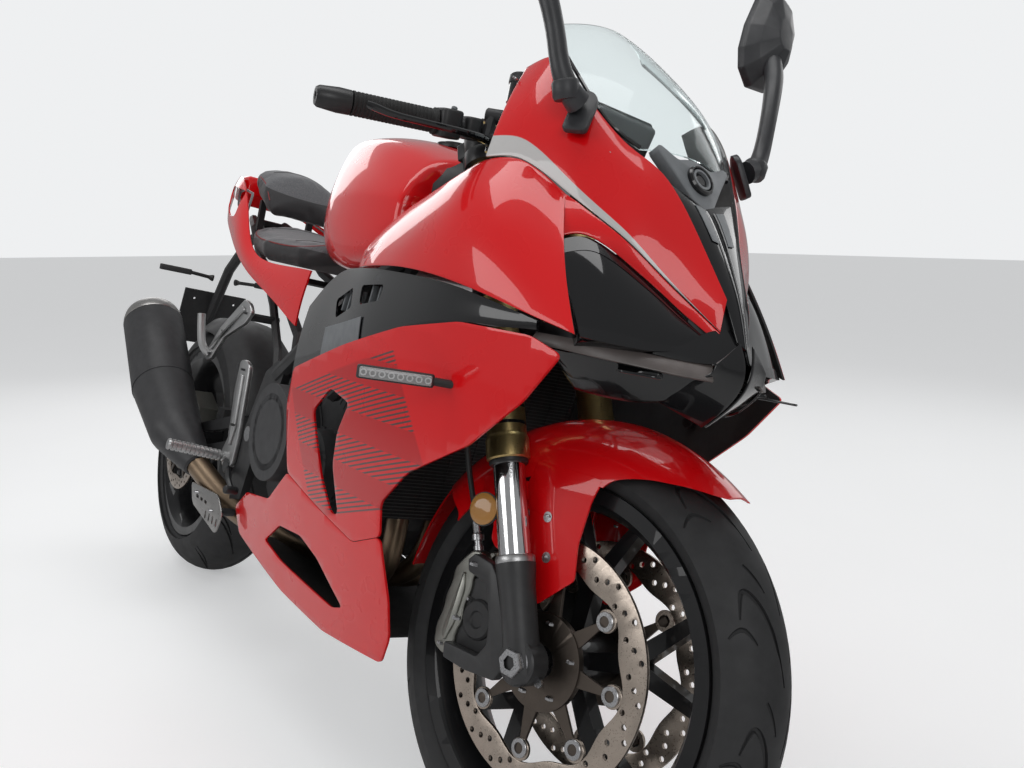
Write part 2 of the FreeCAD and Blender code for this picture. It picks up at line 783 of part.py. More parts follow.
def subframe():
    run = [
        (646, 124, 570), (600, 108, 640), (470, 96, 708), (330, 84, 756),
        (240, 76, 786), (120, 60, 862), (40, 40, 890),
    ]
    rail = bar(run, 11)
    brace = bar([(585, 128, 530), (520, 112, 600), (400, 92, 690), (300, 82, 758)], 9, 6)
    boss = bar([(445, 92, 656), (445, HANGER_IN - 4.3, 656)], 9)
    seat_rest = block((420, 84, 712), (440, 102, 773.6))
    pillion_rest = block((140, 54, 852), (152, 68, 928.9))
    tab = prism([(370, 735), (390, 732), (388, 775), (372, 775)], 80, 92)
    panel_boss = bar([(380, 84, 768), (380, 200, 768)], 7, 6).cut(outside(TAIL_RIBS, Vector(0, 1, 0)))
    side = rail.fuse([brace, boss, seat_rest, pillion_rest, tab, panel_boss])
    cross = bar([(330, -80, 756), (330, 80, 756)], 8, 6).fuse(bar(TAIL_CROSS, 8, 6))
    add("subframe", [side.fuse([cross, mirrored(side)])], BIKE)


CASE = [
    (612, 420), (640, 540), (740, 590), (860, 600), (960, 520),
    (960, 350), (900, 290), (690, 285), (620, 340),
]
HEAD = [(800, 560), (950, 500), (1052, 640), (1040, 716), (950, 764), (860, 720)]


def engine():
    """Crankcase, cylinder block, side covers and the output shaft with its sprocket, as one block."""
    case = prism(CASE, -126, 126)
    hollow = block((560, 88, 330), (712, 130, 620))
    head = prism(HEAD, -124, 124)
    clutch = round_y(734, 463, -190, -120, 88)
    crank = round_y(860, 430, -160, -120, 66)
    alternator = round_y(850, 430, 120, 168, 72)
    drive = prism([(604, 400), (604, 505), (660, 524), (720, 524), (720, 384), (650, 384)], 116, 126)
    middle = sheet.SprocketOffset
    sprocket = round_y(640, 452, middle - 4, middle + 4, sheet.FrontSprocketRadius)
    shaft = round_y(640, 452, 80, sheet.SprocketOffset, 14)
    block_shape = case.cut(hollow).fuse([head, clutch, crank, alternator, drive, sprocket, shaft])
    add("engine_block", [block_shape], BIKE)


LINK = [
    (866, -18, 250), (760, -30, 240), (640, -76, 242),
    (520, -122, 256), (420, -146, 282), (340, -168, 318),
]
COLLECTOR = [(880, -17, 248), (790, -25, 246)]


def headers():
    """Three header pipes into one collector and the link pipe to the muffler."""
    pipes = []
    for side in (88, 0, -88):
        gather = side * 0.25 - 18
        route = [
            (1030, side, 654), (1056, side, 630), (1062, side, 560), (1044, side * 0.9, 460),
            (1036, side * 0.8, 370), (1002, side * 0.6, 294), (940, gather - 4, 258), (860, gather, 252),
        ]
        pipes.append(bar(route, 19, 6))
    collector = bar(COLLECTOR, 34)
    first, *others = pipes
    joined = first.fuse([*others, collector, bar(LINK, 25)])
    add("exhaust_headers", [joined.cut([prism(HEAD, -124, 124), prism(CASE, -126, 126)])], BIKE)


def muffler():
    """Can with a knee, its end cap, and the heat shield over the link pipe."""
    bend = Vector(238, -196, 372)
    knee = Vector(96, -200, 452)
    tip = Vector(-60, -205, 588)
    entry = Vector(*LINK[-1])
    rise = (tip - knee).normalize()
    run = (knee - bend).normalize()
    start = (bend - entry).normalize()
    body = horn(
        [
            (entry, start, 30), (bend, (start + run).normalize(), 56),
            (knee, (run + rise).normalize(), 69), (tip, rise, 69),
        ]
    )
    cap = horn([(tip, rise, 69), (tip + rise * 34, rise, 60)])
    body = body.fuse(cap).cut([rod(tip - rise * 60, tip + rise * 40, 46), bar(LINK, 25)])
    shield = prism([(560, 226), (400, 250), (372, 290), (540, 300), (580, 270)], -188, -184)
    for x, z in ((520, 262), (420, 276)):
        shield = shield.fuse(round_y(x, z, -185, -140, 8))
    shield = shield.cut(bar(LINK, 25.3))
    pieces = [piece for piece in shield.Solids if piece.Volume > 5000]
    add("muffler", [body] + pieces, BIKE)


def swingarm():
    inner = sheet.SwingarmWidth / 2 - 10
    outer = inner + 24
    shape = [
        (596, 452), (560, 464), (420, 446), (240, 400), (60, 356), (-52, 352),
        (-60, 292), (20, 280), (300, 338), (520, 398), (596, 408),
    ]
    arm = prism(shape, inner, outer)
    window_shape = [(440, 424), (300, 392), (180, 366), (200, 338), (320, 366), (440, 398)]
    window = prism(window_shape, inner - 1, outer + 1)
    arm = arm.cut([window, round_y(0, sheet.RearTyreRadius, 80, 160, sheet.AxleRadius)])
    spool = round_y(-20, 296, outer - 2, outer + 14, 12)
    arm = arm.fuse(spool).cut(round_y(-20, 296, outer - 14, outer + 14, sheet.SpoolHoleRadius))
    bridge = prism([(470, 452), (400, 440), (380, 380), (440, 372), (480, 390)], -inner, inner)
    pivot = round_y(sheet.PivotForward, sheet.PivotHeight, -inner, inner, 30)
    arms = arm.fuse([mirrored(arm), bridge, pivot])
    arms = arms.cut(round_y(sheet.PivotForward, sheet.PivotHeight, -150, 150, sheet.PivotRadius))
    add("swingarm", [arms], BIKE)


def rear_axles():
    """Wheel axle with an open bore, and the swingarm's pivot shaft."""
    across = Placement(Vector(0, -(sheet.SwingarmWidth + 44) / 2, 0), Rotation(Vector(1, 0, 0), -90))
    tube = cylinder("RearAxleTube", "AxleRadius", "SwingarmWidth + 44", across)
    bore = cylinder("RearAxleBore", "AxleBore", "SwingarmWidth + 44", across)
    axle = doc.addObject("Part::Cut", "RearAxle")
    axle.Base = tube
    axle.Tool = bore
    place = Vector(sheet.PivotForward, -(PLATE_OUT + 4), sheet.PivotHeight) - REAR_AXLE
    crosswise = Placement(place, Rotation(Vector(1, 0, 0), -90))
    pivot = cylinder("PivotShaft", "PivotRadius", 2 * (PLATE_OUT + 4), crosswise)
    group("rear_axle_and_pivot", [axle, pivot], BIKE.multiply(Placement(REAR_AXLE, Rotation())))


def shock():
    low = Vector(450, 0, 469)
    high = Vector(604, 0, 592.8)
    way = (high - low).normalize()
    body = bar([low, high], 15)
    spring = rod(low + way * 42, low + way * 165, 32)
    eye = round_y(low.x, low.z, -18, 18, 20)
    top = round_y(high.x, high.z, -18, 18, 20)
    add("shock_absorber", [body.fuse([spring, eye, top])], BIKE)


def chain():
    """Belt of links round both sprockets."""
    half = sheet.ChainWidth / 2
    gap = 0.4
    rear = Vector(0, 0, sheet.RearTyreRadius)
    front = Vector(640, 0, 452)
    run = front - rear
    lean_up = math.degrees(math.atan2(run.z, run.x))
    spread = math.degrees(math.asin((sheet.SprocketRadius - sheet.FrontSprocketRadius) / run.Length))

    def loop(grow):
        big = sheet.SprocketRadius + gap + grow
        small = sheet.FrontSprocketRadius + gap + grow
        up = direction(lean_up + 90 - spread)
        down = direction(lean_up - 90 + spread)
        ahead = direction(lean_up)
        edges = [
            Part.makeLine(rear + up * big, front + up * small),
            Part.Arc(front + up * small, front + ahead * small, front + down * small).toShape(),
            Part.makeLine(front + down * small, rear + down * big),
            Part.Arc(rear + down * big, rear - ahead * big, rear + up * big).toShape(),
        ]
        return Part.Face(Part.Wire(edges)).extrude(Vector(0, 2 * half, 0))

    band = loop(sheet.ChainHeight).cut(loop(0))
    band.translate(Vector(0, sheet.SprocketOffset - half, 0))
    add("chain", [band], BIKE)


def rear_brake():
    """Caliper that rests on the swingarm's top face."""
    shape = [(150, 420), (80, 452), (58, 404), (70, 358.8), (140, 375.9)]
    low = -sheet.RearDiscOffset - 24
    high = -sheet.RearDiscOffset + 22
    slot = sheet.DiscThickness / 2 + sheet.PadGap
    centre = -sheet.RearDiscOffset
    gap = round_y(0, sheet.RearTyreRadius, centre - slot, centre + slot, sheet.RearDiscRadius + 5.5)
    add("rear_caliper", [prism(shape, low, high).cut(gap)], BIKE)


def rear_hugger():
    radius = sheet.RearTyreRadius + 12
    section = [(radius, 0), (radius - 8, 52), (radius - 46, 90)]
    inner = [(r - 3, y if y == 0 else y - 3) for r, y in section]
    ring = section + inner[::-1]
    edge = [Vector(r, y, 0) for r, y in ring + ring[:1]]
    turn = Part.Face(Part.makePolygon(edge)).revolve(Vector(), Vector(0, -1, 0), 84)
    turn.rotate(Vector(), Vector(0, 1, 0), -22)
    turn.translate(REAR_AXLE)
    stay = prism([(243, 403), (284, 412), (290, 440), (246, 440)], 89.6, 114.7)
    half = turn.fuse(stay)
    add("rear_hugger", [half.fuse(mirrored(half))], BIKE)


def radiator():
    low, high = (1092, 400), (1140, 690)
    core = prism([low, (low[0] - 26, low[1] + 7), (high[0] - 26, high[1] + 7), high], -168, 168)
    tank_shape = [
        (low[0] + 4, low[1] - 4), (low[0] - 32, low[1] + 6),
        (high[0] - 32, high[1] + 12), (high[0] + 4, high[1] + 4),
    ]
    tank = prism(tank_shape, 168, 186)
    stay = block((1066, 100, 672), (1118, 116, 690)).cut(bar(LOW_TUBE, 15.3))
    stay = max(stay.Solids, key=lambda solid: solid.CenterOfMass.x)
    add("radiator", [core.fuse([tank, mirrored(tank), stay, mirrored(stay)])], BIKE)


STAND_PIVOT = Vector(sheet.StandPivotForward, sheet.StandPivotSide, sheet.StandPivotHeight)


def ground_point(x, y):
    """The bike-frame point above (x, y) that lies on the ground when parked."""
    above = BIKE.multVec(Vector(x, y, 0)).z
    return Vector(x, y, -above / BIKE.Rotation.multVec(Vector(0, 0, 1)).z)


STAND_FOOT = ground_point(sheet.StandFootForward, sheet.StandFootSide)
STAND_FOLDED = Vector(-1, 0.2, 0.25)
STAND_AXIS = (STAND_FOOT - STAND_PIVOT).cross(STAND_FOLDED).normalize()


def side_stand():
    """Stand leg down, with its foot flat on the ground."""
    up = BIKE.inverse().Rotation.multVec(Vector(0, 0, 1))
    boss = rod(STAND_PIVOT - STAND_AXIS * 8, STAND_PIVOT + STAND_AXIS * 8, 15)
    leg_bar = rod(STAND_PIVOT, STAND_FOOT + up * 8, 9)
    foot = Part.makeCylinder(23, 6, STAND_FOOT, up)
    bore_radius = sheet.StandPinRadius + sheet.FitClearance
    bore = rod(STAND_PIVOT - STAND_AXIS * 20, STAND_PIVOT + STAND_AXIS * 20, bore_radius)
    add("side_stand", [boss.fuse([leg_bar, foot]).cut(bore)], BIKE)


def stand_bracket():
    """Lug on the frame with the pin that the stand turns on."""
    lug = rod(STAND_PIVOT - STAND_AXIS * 34, STAND_PIVOT - STAND_AXIS * 9, 14)
    pin = rod(STAND_PIVOT - STAND_AXIS * 20, STAND_PIVOT + STAND_AXIS * 12, sheet.StandPinRadius)
    return lug.fuse(pin)


# Bodywork

def fuel_tank():
    sections = []
    table = (
        # forward, low, low half, crease half, crease, shoulder half, shoulder, top
        (604, 812, 84, 92, 905, 70, 1018, 1036),
        (690, 786, 118, 142, 898, 104, 1014, 1046),
        (830, 770, 150, 164, 902, 122, 1000, 1034),
        (960, 781.3, 158, 166, 894, 122, 972, 1002),
        (1024, 832, 152, 157, 888, 116, 950, 976),
    )
    for x, low, low_half, crease_half, crease, shoulder_half, shoulder, top in table:
        left = [Vector(x, low_half, low), Vector(x, crease_half, crease), Vector(x, shoulder_half, shoulder)]
        right = [Vector(x, -p.y, p.z) for p in left]
        roof = Part.Arc(left[2], Vector(x, 0, top), right[2]).toShape()
        sides = [
            arc_through(left[1], left[2], 8, Vector(0, 1, 0.4)),
            roof,
            arc_through(right[2], right[1], 8, Vector(0, -1, 0.4)),
            Part.makeLine(right[1], right[0]),
            Part.makeLine(right[0], left[0]),
            Part.makeLine(left[0], left[1]),
        ]
        sections.append(Part.Wire(sides))
    tank = Part.makeLoft(sections, True, True)
    well = Part.makeCylinder(sheet.CapRadius + 6, 60, Vector(880, 0, 1015.7))
    neck = Part.makeCylinder(20, 90, Vector(880, 0, 955))
    notch = block((908, -12, 1006), (946, 12, 1060))
    tank = tank.cut([well, neck, notch, block((1004, -120, 878), (1100, 120, 1100))])
    add("fuel_tank", [tank], BIKE)
    cap = Part.makeCylinder(sheet.CapRadius, 8, Vector(880, 0, 1016))
    knob = Part.makeCylinder(24, 4, Vector(880, 0, 1024))
    ear = block((912, -8, 1016), (922, 8, 1024)).fuse(round_y(922, 1020, -8, 8, 5))
    add("filler_cap", [cap.fuse([knob, ear])], BIKE)


def airbox_cover():
    """Cover between the tank and the dash."""
    table = (
        # forward, half width, low, side top, crown
        (1006, 118, 878.3, 930, 985),
        (1028, 110, 878.3, 918, 972),
        (1050, 58, 884, 904, 952),
    )
    sections = []
    for x, half, low, side, crown in table:
        left = [(half, low), (half, side), (half * 0.5, crown - 8)]
        loop = left + [(-y, z) for y, z in left[::-1]]
        corners = [Vector(x, y, z) for y, z in loop]
        sections.append(Part.makePolygon(corners + corners[:1]))
    add("airbox_cover", [Part.makeLoft(sections, True, True)], BIKE)


def seat(label, table):
    """Cushion through sections: forward, half width, low, side top, crown."""
    sections = []
    for x, half, low, side, crown in table:
        left = Vector(x, half, side)
        right = Vector(x, -half, side)
        edges = [
            Part.Arc(left, Vector(x, 0, crown), right).toShape(),
            Part.makeLine(right, Vector(x, -half + 12, low)),
            Part.makeLine(Vector(x, -half + 12, low), Vector(x, half - 12, low)),
            Part.makeLine(Vector(x, half - 12, low), left),
        ]
        sections.append(Part.Wire(edges))
    add(label, [Part.makeLoft(sections, True, True)], BIKE)


def seats():
    rider = (
        (256, 118, 812, 850, 876),
        (330, 143, 793, 832, 856),
        (430, 156, 777, 818, 836),
        (530, 118, 772, 816, 832),
        (590, 66, 790, 836, 850),
    )
    seat("rider_seat", rider)
    pillion = (
        (64, 60, 952, 992, 1008),
        (150, 92, 930, 985, 1010),
        (230, 98, 896, 954, 990),
        (262, 92, 884, 900, 934),
    )
    seat("pillion_seat", pillion)


PLATE = Placement(Vector(-280, 0, 620), Rotation(Vector(0, 1, 0), sheet.PlateTilt))
PLATE_HOLES_UP = 50


def tail_fairing():
    """Side panels with their grab openings, joined by the rear bridge; lamp and plate hanger behind."""
    side = skin(TAIL_RIBS, Vector(0, 1, 0), sheet.PanelWall)
    hole = prism([(230, 930), (96, 952), (30, 950), (60, 915), (190, 870), (238, 868)], 40, 240)
    side = side.cut(hole)
    bridge = prism([(-48, 936), (-40, 990), (40, 990), (40, 946), (10, 920)], -67, 67)
    add("tail_fairing", [bridge.fuse([side, mirrored(side)])], BIKE)
    add("tail_light", [prism([(-47.7, 940), (-60, 950), (-56, 980), (-41.5, 982)], -56, 56)], BIKE)
    arm = bar([(46, 0, 880), (-80, 0, 838), (-190, 0, 760), (-300, 0, 600)], 13)
    board = Part.makeBox(5, 170, 150, Vector(-2.5, -85, -75))
    holes = []
    for side_way in (1, -1):
        centre = Vector(-10, side_way * sheet.PlateHoleSpacing / 2, PLATE_HOLES_UP)
        holes.append(Part.makeCylinder(sheet.PlateHoleRadius, 20, centre, Vector(1, 0, 0)))
    board = board.cut(holes)
    board.Placement = PLATE
    behind = Part.makeBox(300, 200, 500, Vector(-300, -100, -250))
    behind.Placement = PLATE
    stay = arm.cut([behind, bar(TAIL_CROSS, 8.3, 6)])
    stay = max(stay.Solids, key=lambda solid: solid.Volume)
    add("plate_hanger", [stay.fuse(board)], BIKE)


def upper_fairing():
    rear = skin(REAR_RIBS, REAR_OUT, sheet.PanelWall)
    band = skin(
        (
            ((1434, 184, 824), (1416, 154, 886), 3),
            ((1456, 146, 842), (1450, 137, 866), 1.5),
            ((1502, 100, 808), (1500, 106, 833), 1.5),
            ((1546, 52, 767), (1544, 54, 785), 1),
            ((1582, 28, 742), (1584, 24, 752), 0.5),
        ),
        Vector(0.6, 1, 0),
        sheet.PanelWall,
    )
    upper = skin(UPPER_RIBS, UPPER_OUT, sheet.PanelWall)
    panel = rear.fuse([band, upper])
    add("upper_fairing", both(*panel.Solids), BIKE)


def nose():
    lens_ribs = (
        ((1524, 180, 716), (1440, 178, 822), 4),
        ((1545, 140, 715), (1460, 142, 838), 6),
        ((1558, 105, 715), (1504, 98, 805), 5),
        ((1568, 72, 722), (1546, 54, 764), 3),
        ((1572, 50, 736), (1570, 40, 746), 0.5),
    )
    lamp = skin(lens_ribs, Vector(1, 0.2, 0.1), 30)
    lamp.translate(Vector(-2.3, -2.4, 0.9))
    add("headlights", both(lamp), BIKE)
    keel = skin(
        (
            ((1482, 62, 934), (1492, 0, 930), 1),
            ((1532, 38, 862), (1540, 0, 860), 1),
            ((1580, 19, 788.3), (1588, 0, 786), 1),
            ((1600, 10, 744), (1606, 0, 738), 0.5),
        ),
        Vector(1, 0.2, 0.4),
        sheet.PanelWall,
    )
    badge = prism([(1448, 950), (1466, 954), (1494, 924), (1486, 896), (1474, 900), (1464, 926)], 0, 46)
    eye_way = Vector(0.86, 0, 0.5).normalize()
    eye = bar([Vector(1462, 0, 926), Vector(1462, 0, 926) + eye_way * 30], 18)
    lip_plan = [
        (1624, 0), (1600, 46), (1548, 120), (1500, 182), (1458, 192),
        (1440, 184), (1476, 150), (1540, 60), (1572, 0),
    ]
    lip = plate(lip_plan, 694, 710)
    prow = prism([(1620, 694), (1612, 740), (1590, 744), (1560, 694), (1548, 652), (1562, 634)], 0, 22)
    throat = prism([(1460, 694), (1560, 694), (1550, 650), (1480, 634), (1440, 652)], 60, 64)
    wing = plate([(1560, 92), (1584, 124), (1560, 142), (1520, 110)], 684, 690)
    link = block((1530, 62, 684), (1562, 110, 694))
    half = keel.fuse([badge, lip, prow, throat, wing, link])
    add("nose_centre", [half.fuse([mirrored(half), eye])], BIKE)


def windscreen():
    ribs = (
        ((1236, -84, 1150), (1236, 84, 1150), 30),
        ((1298, -122, 1100), (1298, 122, 1100), 38),
        ((1368, -130, 1040), (1368, 130, 1040), 42),
        ((1420, -112.4, 981.6), (1420, 112.4, 981.6), 36),
        ((1450, -80, 960), (1450, 80, 960), 16),
    )
    screen = skin(ribs, Vector(0.86, 0, 0.5), 3)
    add("windscreen", [screen], BIKE)


def side_fairings():
    slab = skin(SIDE_RIBS, Vector(0, 1, 0), sheet.PanelWall)
    shape = [
        (879, 593), (1072, 650), (1231, 691), (1352, 710), (1472, 708), (1520, 692), (1470, 632), (1386, 564),
        (1267, 503), (1207, 449), (1206, 400), (1130, 372), (1000, 396), (881, 420), (860, 530),
    ]
    vent_shape = [
        (1040, 582), (1105, 569), (1072, 520), (1062, 470), (1084, 400),
        (1060, 396), (1024, 440), (996, 500), (979, 540),
    ]
    panel = slab.common(prism(shape, 100, 300)).cut(prism(vent_shape, 100, 300))
    add("side_fairings", both(panel), BIKE)
    belly_shape = [
        (881, 419.6), (1000, 395.6), (1130, 371.6), (1206, 399.6), (1227, 318), (1227, 262), (1204, 218),
        (1023, 200), (853, 210), (617, 246), (584, 290), (658, 335), (788, 353),
    ]
    opening = [(773, 276), (850, 262), (1060, 250), (1096, 262), (1010, 312), (944, 330), (850, 322)]
    belly_side = slab.common(prism(belly_shape, 100, 300)).cut(prism(opening, 100, 300))
    under = [(1080, 206), (1023, 202), (853, 212), (640, 243)]
    floor = prism(under + [(x, z + sheet.PanelWall) for x, z in under[::-1]], -200, 200)
    beyond = skin(SIDE_RIBS, Vector(0, 1, 0), -80)
    floor = floor.cut([beyond, mirrored(beyond), bar(LINK, 30), bar(COLLECTOR, 39)])
    add("belly_pan", [floor.fuse(both(belly_side))], BIKE)


def mid_trim():
    ribs = (
        ((760, 176, 560), (780, 176, 700), 4),
        ((900, 192, 600), (920, 188, 770), 6),
        ((1080, 220, 645), (1080, 217, 771), 6),
        ((1300, 228, 700), (1300, 227, 760), 4),
        ((1470, 198, 714), (1470, 200, 727), 0.5),
    )
    trim = skin(ribs, Vector(0, 1, 0), sheet.PanelWall)
    add("mid_trim", both(trim), BIKE)


def mirrors():
    """Base on the fairing, stalk and shell-shaped head."""
    under = skin(UPPER_RIBS, UPPER_OUT, 60)
    base = bar([(1405, 136, 990), (1418, 186, 1004)], 17).cut(under)
    base = max(base.Solids, key=lambda solid: solid.CenterOfMass.y)
    stalk = bar([(1411, 176, 1004), (1400, 196, 1060), (1376, 214, 1150), (1340, 238, 1198)], 9, 6)
    glass = [
        (214, 1160), (248, 1150), (292, 1196), (310, 1262),
        (302, 1310), (268, 1322), (226, 1284), (204, 1216),
    ]
    loops = []
    for x, share in ((1304, 1), (1326, 0.94), (1348, 0.62)):
        corners = [Vector(x, 256 + (y - 256) * share, 1240 + (z - 1240) * share) for y, z in glass]
        loops.append(Part.makePolygon(corners + corners[:1]))
    head = Part.makeLoft(loops, True, True)
    add("mirrors", both(base.fuse([stalk, head])), BIKE)


def dash():
    add("instrument_panel", [prism(DASH, -88, 88)], BIKE)


def turn_signals():
    inside = skin(SIDE_RIBS, Vector(0, 1, 0), 60)
    front = bar([(1352, 200, 632), (1340, 236, 632), (1296, 326, 627)], 10).cut(inside)
    front = max(front.Solids, key=lambda solid: solid.CenterOfMass.y)
    rear = bar([(-215, 12.3, 730), (-220, 80, 735), (-232, 170, 735)], 9)
    add("turn_signals", both(front, rear), BIKE)


def rearsets():
    """Foot peg hangers with pegs and pedals, and the passenger's hangers."""
    hanger = prism(
        [(470, 566), (524, 566), (530, 420), (516, 346), (470, 346), (452, 372), (478, 410), (462, 500)],
        HANGER_IN, HANGER_OUT,
    )
    rear_shape = [
        (470, 664), (420, 690), (300, 620), (236, 560), (240, 540), (270, 545), (330, 600), (440, 640),
    ]
    rear_hanger = prism(rear_shape, HANGER_IN - 4, HANGER_OUT - 4)
    peg = bar([(484, 160, 368), (474, 282, 382)], 11, 6)
    rear_peg = bar([(256, 158, 556), (252, 178, 566), (236, 186, 640)], 9, 6)
    pedal = bar([(500, 160, 352), (560, 176, 330), (620, 190, 326)], 6, 6)
    add("footrests", both(hanger.fuse([peg, pedal]), rear_hanger.fuse(rear_peg)), BIKE)


front_wheel()
rear_wheel()
fork()
yokes()
handlebars()
hand_controls()
front_brakes()
front_fender()
main_frame()
subframe()
engine()
headers()
muffler()
swingarm()
rear_axles()
shock()
chain()
rear_brake()
rear_hugger()
radiator()
fuel_tank()
airbox_cover()
seats()
tail_fairing()
upper_fairing()
nose()
windscreen()
side_fairings()
mid_trim()
mirrors()
dash()
turn_signals()
rearsets()
side_stand()

doc.recompute()

for piece in doc.Objects:
    if "Invalid" in piece.State or "Error" in piece.State:
        raise RuntimeError(f"{piece.Label} failed: {piece.State}")
for label, piece in nodes.items():
    if piece.Shape.isNull() or not piece.Shape.isValid():
        raise RuntimeError(f"{label} has a bad shape")

os.makedirs("parts", exist_ok=True)
for label, piece in nodes.items():
    piece.Shape.exportStep(f"parts/{label}.step")

# Places that the record states

SPOOL = Vector(-20, sheet.SwingarmWidth / 2 + 28, 296)
for name, base, axis, pose in (
    ("steering", STEER_BASE, STEER_UP, BIKE),
    ("front_axle", FRONT_AXLE, Vector(0, 1, 0), FRONT),
    ("rear_axle", REAR_AXLE, Vector(0, 1, 0), BIKE),
    ("side_stand", STAND_PIVOT, STAND_AXIS, BIKE),
    ("filler_cap", Vector(922, 0, 1020), Vector(0, 1, 0), BIKE),
    ("spool_left", SPOOL, Vector(0, 1, 0), BIKE),
    ("spool_right", Vector(SPOOL.x, -SPOOL.y, SPOOL.z), Vector(0, -1, 0), BIKE),
    ("plate", PLATE.multVec(Vector(-2.5, 0, PLATE_HOLES_UP)), PLATE.Rotation.multVec(Vector(-1, 0, 0)), BIKE),
    ("upright", Vector(), Vector(0, 0, 1), BIKE),
):
    spot = pose.multVec(base)
    way = pose.Rotation.multVec(axis)
    print(name, *(round(value, 6) for value in (*spot, *way)))
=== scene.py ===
import json
import math

import bmesh
import bpy
from mathutils import Matrix, Vector
from mathutils.bvhtree import BVHTree


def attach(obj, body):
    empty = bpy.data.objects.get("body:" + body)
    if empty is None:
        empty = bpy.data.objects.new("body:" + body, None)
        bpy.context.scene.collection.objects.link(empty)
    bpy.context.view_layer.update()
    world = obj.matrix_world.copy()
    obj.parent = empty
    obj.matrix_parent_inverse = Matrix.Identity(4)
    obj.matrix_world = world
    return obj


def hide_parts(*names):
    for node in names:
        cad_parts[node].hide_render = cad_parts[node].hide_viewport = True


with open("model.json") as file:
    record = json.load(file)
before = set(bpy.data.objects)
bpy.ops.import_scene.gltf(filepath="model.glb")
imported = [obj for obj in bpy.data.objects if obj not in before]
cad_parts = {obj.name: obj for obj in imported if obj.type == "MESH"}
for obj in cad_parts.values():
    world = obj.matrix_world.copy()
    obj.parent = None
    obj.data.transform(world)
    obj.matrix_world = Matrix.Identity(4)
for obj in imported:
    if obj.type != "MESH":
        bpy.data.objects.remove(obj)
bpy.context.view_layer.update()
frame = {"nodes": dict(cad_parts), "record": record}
scene = bpy.context.scene
scene.view_settings.view_transform = "Standard"

# Where things are: bike lengths are in millimetres, upright, forward from the rear axle's ground point

MM = Matrix.Scale(0.001, 4)


def axes_at(origin, left, up):
    """Matrix whose x points forward, y left and z up."""
    left, up = Vector(left).normalized(), Vector(up).normalized()
    forward = left.cross(up)
    turn = Matrix((forward, left, up)).transposed()
    return Matrix.Translation(origin) @ turn.to_4x4()


FRONT_AXLE, REAR_AXLE = (1420, 0, 300), (0, 0, 315)
STEERED, RAKE = math.radians(11), math.radians(24.5)
PARKED = axes_at((-0.702, -0.205, 0.002257), (-0.000621, 0.97437, -0.22495), (0.00269, 0.224951, 0.974366))
HEAD_POINT = Vector((0.691469, -0.140314, 0.2786))
HEAD_AXIS = Vector((-0.412244, 0.204697, 0.88778))
TO_HEAD = Matrix.Translation(HEAD_POINT)
STEER = TO_HEAD @ Matrix.Rotation(STEERED, 4, HEAD_AXIS) @ TO_HEAD.inverted()
BIKE = PARKED @ MM
FRONT = STEER @ BIKE
FRONT_WHEEL = FRONT @ Matrix.Translation(FRONT_AXLE)
REAR_WHEEL = BIKE @ Matrix.Translation(REAR_AXLE)
LEG_SIDES = (105, -105)
FORK = FRONT @ Matrix.Translation(FRONT_AXLE) @ Matrix.Rotation(-RAKE, 4, "Y")

# Camera and studio

lens = bpy.data.cameras.new("camera")
lens.sensor_width = 36
lens.lens = 922.02 / 1024 * 36
camera = bpy.data.objects.new("camera", lens)
scene.collection.objects.link(camera)
turn = Vector((1.5854, 0.8222, -0.6912))
look = Matrix.Rotation(turn.length, 3, turn.normalized()).transposed() @ Matrix.Diagonal((1, -1, -1))
camera.matrix_world = Matrix.Translation((1.6068, -0.8678, 0.8508)) @ look.to_4x4()
scene.camera = camera


def softbox(name, place, target, size, power):
    light = bpy.data.lights.new(name, "AREA")
    light.shape = "RECTANGLE"
    light.size, light.size_y = size
    light.energy = power
    lamp = bpy.data.objects.new(name, light)
    lamp.location = place
    lamp.rotation_euler = (Vector(target) - Vector(place)).to_track_quat("-Z", "Y").to_euler()
    scene.collection.objects.link(lamp)


softbox("ceiling_light", (0.2, -0.3, 3.4), (0, -0.1, 0.5), (3.2, 1.2), 34)
softbox("front_light", (3.6, -1.6, 2.2), (0.3, -0.1, 0.6), (1.6, 1.6), 22)
softbox("right_light", (-0.4, -3.4, 1.9), (0, -0.1, 0.5), (2.6, 1.2), 24)
softbox("left_light", (0.2, 3.4, 2.2), (0, 0, 0.5), (2.6, 1.2), 16)
softbox("back_light", (-3.4, 0.6, 2.0), (0, 0, 0.5), (1.8, 1.4), 14)

# Materials


